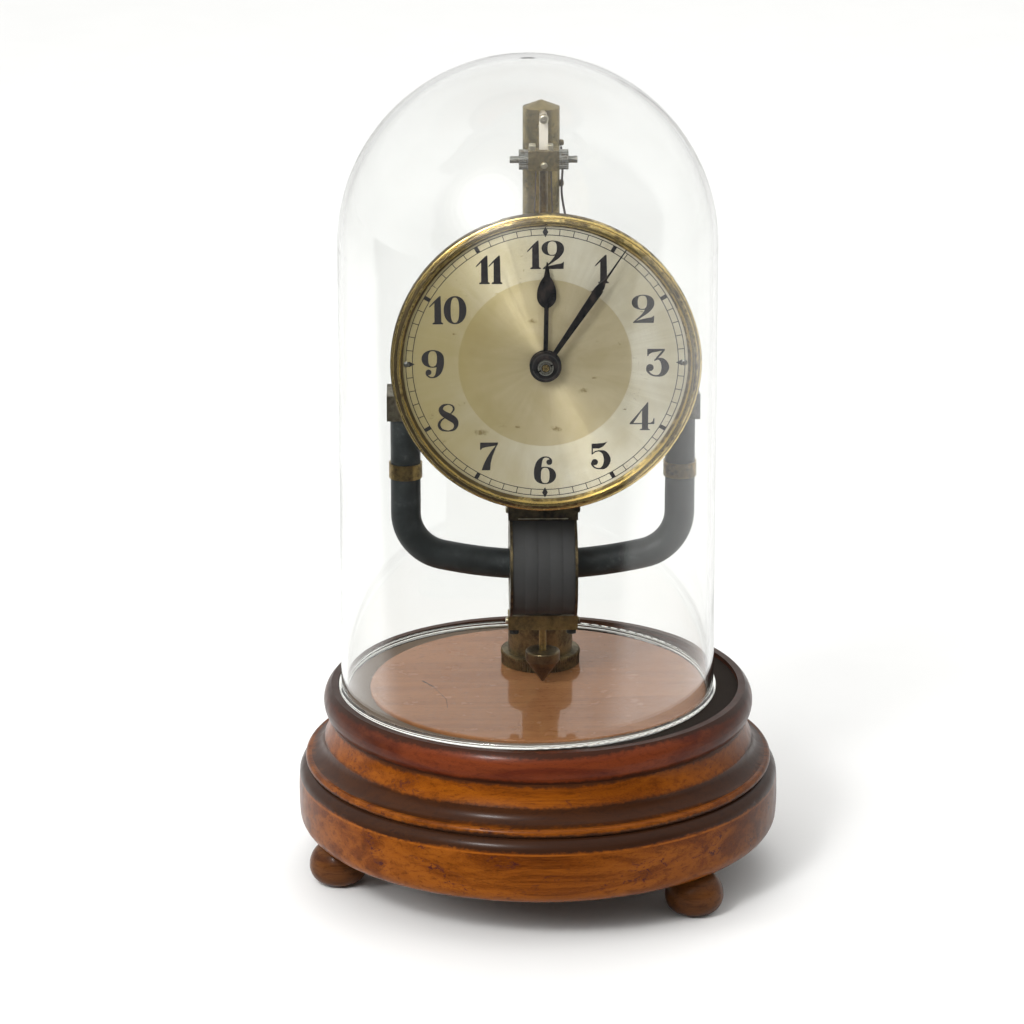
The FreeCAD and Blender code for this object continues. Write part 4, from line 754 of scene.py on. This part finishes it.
DIGITS = {
    "0": (0.776, bowl(0.388, 0.5, 0.388, 0.5, 0.382, 0.144, 0.445)),
    "1": (0.54, [
        [(0.185, 0), (0.185, 0.755), (0.028, 0.60), (0, 0.625), (0.19, 0.84), (0.355, 1), (0.40, 1),
         (0.425, 0)],
        [(0.12, 0), (0.12, 0.045), (0.185, 0.075), (0.425, 0.075), (0.48, 0.045), (0.48, 0)],
    ]),
    "2": (0.762, [
        *bowl(0.381, 0.732, 0.381, 0.268, 0.362, 0.158, 0.235),
        stroke((0.642, 0.76, 0.24), (0.632, 0.62, 0.235), (0.53, 0.44, 0.17), (0.36, 0.265, 0.085),
               (0.17, 0.11, 0.05), (0.075, 0.025, 0.04)),
        [(0.05, 0), (0.05, 0.03), (0.28, 0.115), (0.50, 0.165), (0.68, 0.195), (0.745, 0.25), (0.765, 0.25),
         (0.75, 0)],
    ]),
    "3": (0.785, [
        [(0.04, 0.99), (0.64, 0.99), (0.60, 0.93), (0.45, 0.905), (0.20, 0.86), (0.10, 0.80), (0.075, 0.735),
         (0.04, 0.735)],
        stroke((0.62, 0.965, 0.05), (0.50, 0.82, 0.075), (0.30, 0.585, 0.045)),
        stroke((0.28, 0.575, 0.04), (0.42, 0.635, 0.065), (0.57, 0.555, 0.185), (0.655, 0.34, 0.26),
               (0.575, 0.125, 0.185), (0.41, 0.03, 0.065), (0.20, 0.065, 0.055), (0.06, 0.20, 0.075),
               (0.035, 0.31, 0.06)),
        ball(0.135, 0.325, 0.125),
    ]),
    "4": (0.85, [
        [(0.42, 0), (0.42, 0.76), (0.60, 1), (0.63, 1), (0.63, 0)],
        [(0, 0.215), (0, 0.255), (0.605, 1), (0.42, 0.71), (0.13, 0.26), (0.85, 0.26), (0.83, 0.215)],
        [(0.70, 0.25), (0.79, 0.32), (0.81, 0.42), (0.85, 0.42), (0.84, 0.22)],
        [(0.35, 0), (0.35, 0.035), (0.42, 0.06), (0.63, 0.06), (0.69, 0.035), (0.69, 0)],
    ]),
    "5": (0.68, [
        [(0.012, 0.93), (0.20, 0.935), (0.42, 0.955), (0.55, 1), (0.50, 0.93), (0.40, 0.82), (0.27, 0.757),
         (0.06, 0.757), (0.055, 0.57), (0.012, 0.53)],
        stroke((0.03, 0.55, 0.035), (0.14, 0.64, 0.045), (0.29, 0.665, 0.055), (0.46, 0.585, 0.165),
               (0.555, 0.35, 0.235), (0.475, 0.12, 0.175), (0.31, 0.03, 0.06), (0.13, 0.065, 0.05),
               (0.035, 0.18, 0.07), (0.025, 0.26, 0.05)),
        ball(0.125, 0.265, 0.11),
    ]),
    "6": (0.762, six()),
    "7": (0.63, [
        [(0.005, 1), (0.63, 1), (0.60, 0.90), (0.42, 0.865), (0.22, 0.835), (0.08, 0.80), (0.035, 0.73),
         (0.005, 0.73)],
        [(0.63, 1), (0.53, 0.88), (0.38, 0.68), (0.24, 0.45), (0.13, 0.22), (0.055, 0), (0.35, 0),
         (0.37, 0.25), (0.43, 0.50), (0.52, 0.74)],
    ]),
    "8": (0.712, [
        stroke((0.37, 0.982, 0.035), (0.20, 0.935, 0.09), (0.115, 0.80, 0.15), (0.20, 0.655, 0.21),
               (0.40, 0.53, 0.25), (0.58, 0.40, 0.23), (0.635, 0.24, 0.155), (0.56, 0.08, 0.09),
               (0.37, 0.018, 0.035)),
        stroke((0.37, 0.982, 0.035), (0.51, 0.925, 0.055), (0.555, 0.80, 0.065), (0.48, 0.67, 0.05),
               (0.36, 0.58, 0.03)),
        stroke((0.37, 0.018, 0.035), (0.15, 0.07, 0.08), (0.055, 0.23, 0.10), (0.12, 0.40, 0.07),
               (0.30, 0.53, 0.03)),
    ]),
    "9": (0.762, turn_round(six(), 0.762)),
}
NUMERAL_HEIGHT = 13.2 * MM
NUMERAL_CIRCLE = 50.6 * MM
DIGIT_GAP = 0.075


def make_numerals(material):
    for hour in range(1, 13):
        shapes = []
        pen = 0.0
        for figure in str(hour):
            width, parts = DIGITS[figure]
            if figure == "1" and pen > 0:
                pen -= DIGIT_GAP
            shapes += [[(x + pen, y) for x, y in part] for part in parts]
            pen += width + (DIGIT_GAP - 0.115 if figure == "1" else DIGIT_GAP)
        xs = [x for shape in shapes for x, _ in shape]
        centre = (min(xs) + max(xs)) / 2
        shapes = [[(x - centre, y - 0.5) for x, y in shape] for shape in shapes]
        angle = math.radians(30 * hour)
        place = on_dial(NUMERAL_CIRCLE * math.sin(angle), NUMERAL_CIRCLE * math.cos(angle), NUMERAL_HEIGHT)
        printed(f"numeral_{hour}", shapes, place, material)


def make_minute_track(material):
    """Two thin circles with a tick for each minute, blocks at the hours and lozenges at the quarters."""
    inner, outer, line = 59.6, 62.5, 0.34
    block_half = 0.9
    lozenge_half, lozenge_reach = 1.3, 2.45
    shapes = []
    for radius in (inner, outer):
        for start in (0, 120, 240):
            shapes.append(ellipse(0, 0, radius + line, radius + line, 2, start, start + 120, 80)
                          + ellipse(0, 0, radius, radius, 2, start, start + 120, 80)[::-1])
    for minute in range(60):
        angle = math.radians(6 * minute)
        out = Vector((math.sin(angle), math.cos(angle)))
        side = Vector((out.y, -out.x))
        half = line * 0.5 if minute % 5 else block_half
        if minute % 15:
            corners = ((inner + 0.1, -half), (outer + 0.1, -half), (outer + 0.1, half), (inner + 0.1, half))
        else:
            middle_radius = (inner + outer) / 2 + 0.1
            corners = ((middle_radius - lozenge_reach, 0), (middle_radius, -lozenge_half),
                       (middle_radius + lozenge_reach, 0), (middle_radius, lozenge_half))
        shapes.append([tuple(out * reach + side * aside) for reach, aside in corners])
    printed("minute_track", shapes, on_dial(0, 0, MM), material)


def make_dial_pins(material):
    """Two small domed rivets that hold the dial, at its three and nine o'clock edges."""
    radius, rise = 1.35 * MM, 0.5 * MM
    angles = [math.radians(a) for a in range(0, 90, 15)]
    dome = [(radius * math.cos(a), -rise * math.sin(a)) for a in angles]
    for name, side in (("dial_rivet_right", 1), ("dial_rivet_left", -1)):
        centre = Vector((DIAL.x + side * 62.4 * MM, DIAL_FACE, DIAL.z))
        rivet = lathe(name, [(radius, 0.1 * MM)] + dome + [(0.02 * MM, -rise)], centre, "Y", material, 24)
        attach(rivet, "base_and_frame")


# ---- coil
TAPE_DEPTH = 12.9 * MM


def make_winding(material):
    """Taped winding between the spool's cheeks: bands of tape overlap by a hair's breadth."""
    low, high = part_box("coil_winding")
    outer = (high.z - low.z) / 2 - 0.05 * MM
    bore = outer - TAPE_DEPTH
    length = high.x - low.x
    bands = 5
    lap = 0.22 * MM
    base = outer - lap
    outline = [(bore, -length / 2), (base, -length / 2)]
    for band in range(bands):
        start = -length / 2 + length * band / bands
        end = start + length / bands
        rise = lap if band % 2 else lap * 0.35
        outline += [(base + rise * 0.2, start + 0.12 * MM), (base + rise, start + 0.5 * MM),
                    (base + rise, end - 0.5 * MM), (base + rise * 0.4, end - 0.1 * MM)]
    outline += [(base, length / 2), (bore, length / 2)]

    def slack(angle, along):
        return -0.0035 * noise.noise(Vector((2.2 * math.cos(angle), 2.2 * math.sin(angle), along * 90))) ** 2

    piece = lathe("coil_winding_taped", outline, COIL, "X", material, 128, True, slack)
    piece.data.shade_smooth()
    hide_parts("coil_winding")
    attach(piece, "pendulum")


def make_coil_leads(material):
    """Fine covered wires from the pendulum's head down to the coil, one each side of the rod."""
    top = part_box("pendulum_head")[0].z
    low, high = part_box("coil_upper_bracket")
    x, y = (low.x + high.x) / 2, (low.y + high.y) / 2
    # out from the rod, forward or back, and height from the head or the bracket
    knots = ((3.4, 0, top, 0.6), (3.6, 0, top, -8), (4.4, -0.6, top, -30), (3.6, 0, top, -70),
             (4.6, 0.6, top, -110), (6.5, 0, high.z, 14), (13.6, 0, high.z, 6), (13.6, 0, high.z, -0.3))
    for name, side in (("coil_lead_right", 1), ("coil_lead_left", -1)):
        points = [(x + side * out * MM, y + back * MM, z + rise * MM) for out, back, z, rise in knots]
        wire = tube(name, points, 0.32 * MM, material)
        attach(wire, "pendulum")


# ---- small fittings
def place_piece(piece, body):
    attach(piece, body)
    return piece


def bar(name, low, high, bevel, material, body):
    """Metal block with rounded edges between two corners."""
    mesh = bmesh.new()
    bmesh.ops.create_cube(mesh, size=1.0)
    for vertex in mesh.verts:
        vertex.co = Vector([low[i] + (high[i] - low[i]) * (vertex.co[i] + 0.5) for i in range(3)])
    bmesh.ops.bevel(mesh, geom=mesh.edges[:], offset=bevel, segments=3, profile=0.5, affect="EDGES")
    data = bpy.data.meshes.new(name)
    mesh.to_mesh(data)
    mesh.free()
    data.materials.append(material)
    piece = bpy.data.objects.new(name, data)
    bpy.context.collection.objects.link(piece)
    return place_piece(piece, body)


def round_head(name, seat, axis, facing, radius, height, material, body):
    """Turned screw or peg head with a rounded crown and a small dimple, standing on seat."""
    crown = ((0.86, 0.0), (1.0, 0.12), (1.0, 0.5), (0.93, 0.74), (0.74, 0.92), (0.45, 1.0), (0.2, 0.98),
             (0.02, 0.88))
    outline = [(radius * out, facing * (along * height)) for out, along in crown]
    return place_piece(lathe(name, outline, Vector(seat), axis, material, 32), body)


def make_suspension_fittings(bright, dark, wire):
    arm_low, arm_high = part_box("suspension_arm")
    arm_x = (arm_low.x + arm_high.x) / 2
    peg_seat = (arm_x, arm_low.y + 0.1 * MM, arm_high.z - 2.3 * MM)
    round_head("ribbon_peg", peg_seat, "Y", -1, 2.1 * MM, 1.3 * MM, bright, "base_and_frame")
    head_low, head_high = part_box("pendulum_head")
    front = head_low.y + 1.2 * MM
    for name, low, high in (("ribbon_clamp_left", -6.6, -3.6), ("ribbon_clamp_right", 1.9, 4.3)):
        bar(name, (arm_x + low * MM, front, head_high.z - 0.4 * MM),
            (arm_x + high * MM, front + 4.5 * MM, head_high.z + 2.8 * MM),
            0.5 * MM, bright, "pendulum")
    screw_seat = (arm_x + 0.2 * MM, head_low.y + 0.05 * MM, head_low.z + 2.6 * MM)
    round_head("head_screw", screw_seat, "Y", -1, 1.5 * MM, 0.9 * MM, bright, "pendulum")
    pillar_low, pillar_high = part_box("pillar_tube")
    side, depth = pillar_high.x, (pillar_low.y + pillar_high.y) / 2
    for name, z, radius in (("pillar_knob_upper", 339.9, 1.5), ("pillar_knob_lower", 320.7, 1.7)):
        round_head(name, (side - 0.3 * MM, depth, z * MM), "X", 1, radius * MM, 2.2 * MM, dark,
                   "base_and_frame")
    knots = ((0.6, 0, 338.0), (1.5, -0.4, 330.0), (1.0, -1.0, 322.0), (0.7, -2.4, 316.0), (2.4, -6.5, 307.0),
             (4.6, -11.0, 296.0), (3.2, -15.0, 284.0), (0.5, -16.5, 273.0), (-1.5, -16.5, 268.0))
    points = [(side + x * MM, depth + y * MM, z * MM) for x, y, z in knots]
    place_piece(tube("pillar_lead", points, 0.55 * MM, wire), "base_and_frame")


def make_bracket_fittings(bright, dark):
    for bracket, rise in (("coil_upper_bracket", 2.6), ("coil_lower_bracket", 3.0)):
        low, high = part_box(bracket)
        depth = (low.y + high.y) / 2
        z = high.z - rise * MM if "upper" in bracket else low.z + rise * MM
        # painted light and shade: the left studs take the bright brass and the right studs the dark brass,
        # as if lit from the left
        for side, x, facing in (("left", low.x, -1), ("right", high.x, 1)):
            seat = (x - facing * 0.1 * MM, depth, z)
            round_head(f"{bracket}_stud_{side}", seat, "X", facing, 1.7 * MM, 1.3 * MM,
                       bright if side == "left" else dark, "pendulum")
    low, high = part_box("coil_upper_bracket")
    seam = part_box("coil_spool")[1].z + 0.1 * MM
    bar("upper_bracket_seam", (low.x + 4.5 * MM, low.y - 0.25 * MM, seam),
        (high.x - 4.5 * MM, low.y + 0.3 * MM, seam + 0.45 * MM), 0.08 * MM, bright, "pendulum")


def make_knurl(material):
    """Milled edge round the pillar's foot ring."""
    low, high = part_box("pillar_foot_ring")
    centre = Vector(((low.x + high.x) / 2, (low.y + high.y) / 2, 0))
    outer = (high.x - low.x) / 2
    teeth, steps = 96, 4
    profile = ((-0.35, -2.2), (0.25, -1.9), (0.32, -1.1), (0.25, -0.4), (-0.45, -0.05))
    outline = [(outer + out * MM, high.z + up * MM) for out, up in profile]

    def tooth(angle, along):
        ridge = abs(((angle * teeth / (2 * math.pi)) % 1) - 0.5) * 2
        return -0.016 * ridge

    ring = lathe("foot_ring_knurl", outline, centre, "Z", material, teeth * steps, False, tooth)
    ring.data.shade_flat()
    place_piece(ring, "base_and_frame")


def make_glass_foot():
    """Two fine pale lines inside the thickness of the dome's foot: painted highlights for light caught in
    the glass edge.
    """
    graph, place = new_material("glass_foot_highlight")
    grain = graph.noise(place, 1.5, 3, 0.6)
    graph.put("Base Color", graph.mix(grain, (0.96, 0.96, 0.92), (0.84, 0.85, 0.80)))
    graph.put("Roughness", graph.step(grain, 0.3, 0.7, 0.35, 0.5))
    graph.bump(grain, 0.02, 0.3)
    low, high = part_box("glass_dome")
    centre = Vector(((low.x + high.x) / 2, (low.y + high.y) / 2, low.z))
    outer = (high.x - low.x) / 2
    lines = (("dome_edge_lower", 1.35, 0.8, 0.52, 0.50), ("dome_edge_upper", 0.75, 2.0, 0.16, 0.16))
    for name, inset, rise, thick, tall in lines:
        section = [(outer - (inset - thick * math.cos(a)) * MM, (rise + tall * math.sin(a)) * MM)
                   for a in [math.radians(45 * i) for i in range(8)]]
        ring = lathe(name, section, centre, "Z", graph.material, 180, True)
        place_piece(ring, "dome")
        ring.visible_shadow = False


# ---- the whole object
def paint_everything():
    # in the wood, dark bands are partly stain and partly painted shade, worn bands partly wear and partly
    # painted highlight, and shade is painted shade on the flanks
    paint_nodes(wood("drum_wood", (0.205, 0.057, 0.005), (0.090, 0.020, 0.0015),
                     ((46.3, 54.0, 0.9, 0.92), (18.0, 21.8, 0.8, 0.6)), 0.95,
                     worn=((45.0, 45.9, 0.25, 0.7),), shade=((72, 112, 0.6), (-85, -114, 0.35))),
                "plinth_drum")
    paint_nodes(wood("cove_wood", (0.205, 0.054, 0.003), (0.115, 0.027, 0.002),
                     ((55.6, 64.0, 1.3, 0.88), (50.0, 52.8, 0.4, 0.8), (72.8, 76.5, 0.8, 0.75)), 0.6,
                     worn=((53.2, 54.8, 0.4, 0.7),), shade=((70, 108, 0.5),)), "cove_moulding")
    paint_nodes(wood("rim_wood", (0.128, 0.027, 0.008), (0.070, 0.012, 0.005),
                     ((72.0, 76.0, 0.9, 0.8), (87.2, 90.0, 0.9, 0.85)), 0.3, streaks=0.7,
                     shade=((45, 98, 0.65), (-50, -96, 0.75))), "rim_ring")
    paint_nodes(wood("platform_wood", (0.24, 0.105, 0.042), (0.19, 0.078, 0.030), blotch=0.12, gloss=0.04,
                     streaks=0.3, relief_depth=0.0015, coat=0.85,
                     scars=(((-54.0, 4.0), (-49.0, -4.0), 0.9), ((-49.0, -4.0), (-43.0, -22.0), 0.28),
                            ((-43.0, -22.0), (-42.5, -34.0), 0.22))),
                "platform_disc")
    paint_nodes(wood("foot_wood", (0.100, 0.036, 0.010), (0.050, 0.016, 0.006),
                     ((-1.0, 2.0, 1.0, 0.5),), 0.6),
                "foot_right", "foot_back", "foot_left")
    paint_nodes(felt_cloth(), "dome_seat_felt")
    paint_nodes(glass_blown(), "glass_dome")
    # the glass throws no shadow and stops no diffuse light
    dome = NODES["glass_dome"]
    dome.visible_shadow = False
    dome.visible_diffuse = False

    pillar = middle("pillar_tube")
    paint_nodes(brass("pillar_brass", (0.31, 0.24, 0.10), (0.13, 0.106, 0.048), cover=0.78, rough=0.36),
                "pillar_tube", "pillar_cap")
    paint_nodes(brass("collar_brass", (0.27, 0.21, 0.10), (0.085, 0.066, 0.034), pillar, rough=0.32,
                      lathe_lines=0.5), "pillar_collar", "pillar_foot_ring")
    paint_nodes(brass("old_brass", (0.56, 0.42, 0.20), (0.20, 0.155, 0.085)),
                "suspension_arm", "fork_lever", "base_cover")
    paint_nodes(brass("bracket_brass", (0.36, 0.27, 0.105), (0.15, 0.115, 0.050)),
                "coil_lower_bracket", "rating_rod")
    paint_nodes(brass("rod_bronze", (0.22, 0.17, 0.09), (0.075, 0.058, 0.036)), "pendulum_rod")
    paint_nodes(brass("dark_brass", (0.15, 0.115, 0.060), (0.038, 0.030, 0.020), rough=0.34),
                "coil_upper_bracket", "coil_spool")
    paint_nodes(brass("clamp_brass", (0.25, 0.22, 0.155), (0.11, 0.098, 0.072), cover=0.75, rough=0.36),
                "magnet_end_clamps", "magnet_cross_bracket", "movement_bracket")
    paint_nodes(brass("band_brass", (0.34, 0.235, 0.085), (0.10, 0.070, 0.030), cover=0.75, rough=0.28),
                "magnet_bands")
    paint_nodes(brass("bezel_brass", (0.90, 0.68, 0.26), (0.13, 0.096, 0.046), DIAL, "Y", 0.62, 0.22, 0.35,
                      70.0, BEZEL_LIGHT_AND_SHADE_RINGS), "bezel")
    paint_nodes(brass("clean_brass", (0.68, 0.52, 0.26), (0.34, 0.25, 0.12), DIAL, "Y", 0.35, 0.24, 0.4),
                "dial_backing", "dial_feet", "movement_front_plate", "movement_back_plate",
                "movement_pillars")
    paint_nodes(brass("wheel_brass", (0.72, 0.56, 0.28), (0.38, 0.28, 0.13), cover=0.25, rough=0.2),
                "centre_wheel", "third_wheel", "ratchet_wheel", "hour_wheel", "minute_wheel",
                "cannon_pinion", "battery_contacts")
    paint_nodes(brass("nut_brass", (0.17, 0.125, 0.065), (0.055, 0.042, 0.026), middle("rating_nut"),
                      lathe_lines=0.45), "rating_nut")
    paint_nodes(steel("bright_steel"), "plate_screws", "bracket_screws", "cover_screws", "contact_pin",
                "minute_stud", "pillar_nut", "pillar_stud", "drive_pawl")
    paint_nodes(nut_steel(), "hand_nut")
    paint_nodes(steel("pin_steel", (0.26, 0.26, 0.235), 0.34, 0.7), "cross_pin", "pin_collars")
    paint_nodes(dial_metal(), "dial_plate")
    paint_nodes(black_lacquer(), "magnet_bar", "coil_screws")
    paint_nodes(brass("head_bronze", (0.36, 0.285, 0.135), (0.14, 0.112, 0.056), cover=0.75, rough=0.34),
                "pendulum_head")
    paint_nodes(hand_black(), "hour_hand", "minute_hand")
    paint_nodes(winding_tape(), "coil_winding")
    paint_nodes(woven("silk", (0.80, 0.75, 0.66), (0.50, 0.46, 0.38), 0.18), "suspension_ribbon")
    paint_nodes(woven("lead_cover", (0.05, 0.035, 0.028), (0.014, 0.010, 0.009), 0.25, 0.2), "battery_leads")
    paint_nodes(cell_sleeve(), "battery_cell")


make_camera()
make_stage()
paint_everything()
make_numerals(ink())
make_minute_track(bpy.data.materials["dial_ink"])
make_dial_pins(bpy.data.materials["pin_steel"])
make_winding(bpy.data.materials["winding"])
make_coil_leads(bpy.data.materials["lead_cover"])
make_suspension_fittings(brass("fitting_bright", (0.62, 0.57, 0.44), (0.34, 0.30, 0.21), cover=0.5),
                         bpy.data.materials["rod_bronze"], bpy.data.materials["lead_cover"])
make_bracket_fittings(bpy.data.materials["fitting_bright"], bpy.data.materials["dark_brass"])
make_knurl(bpy.data.materials["collar_brass"])
make_glass_foot()
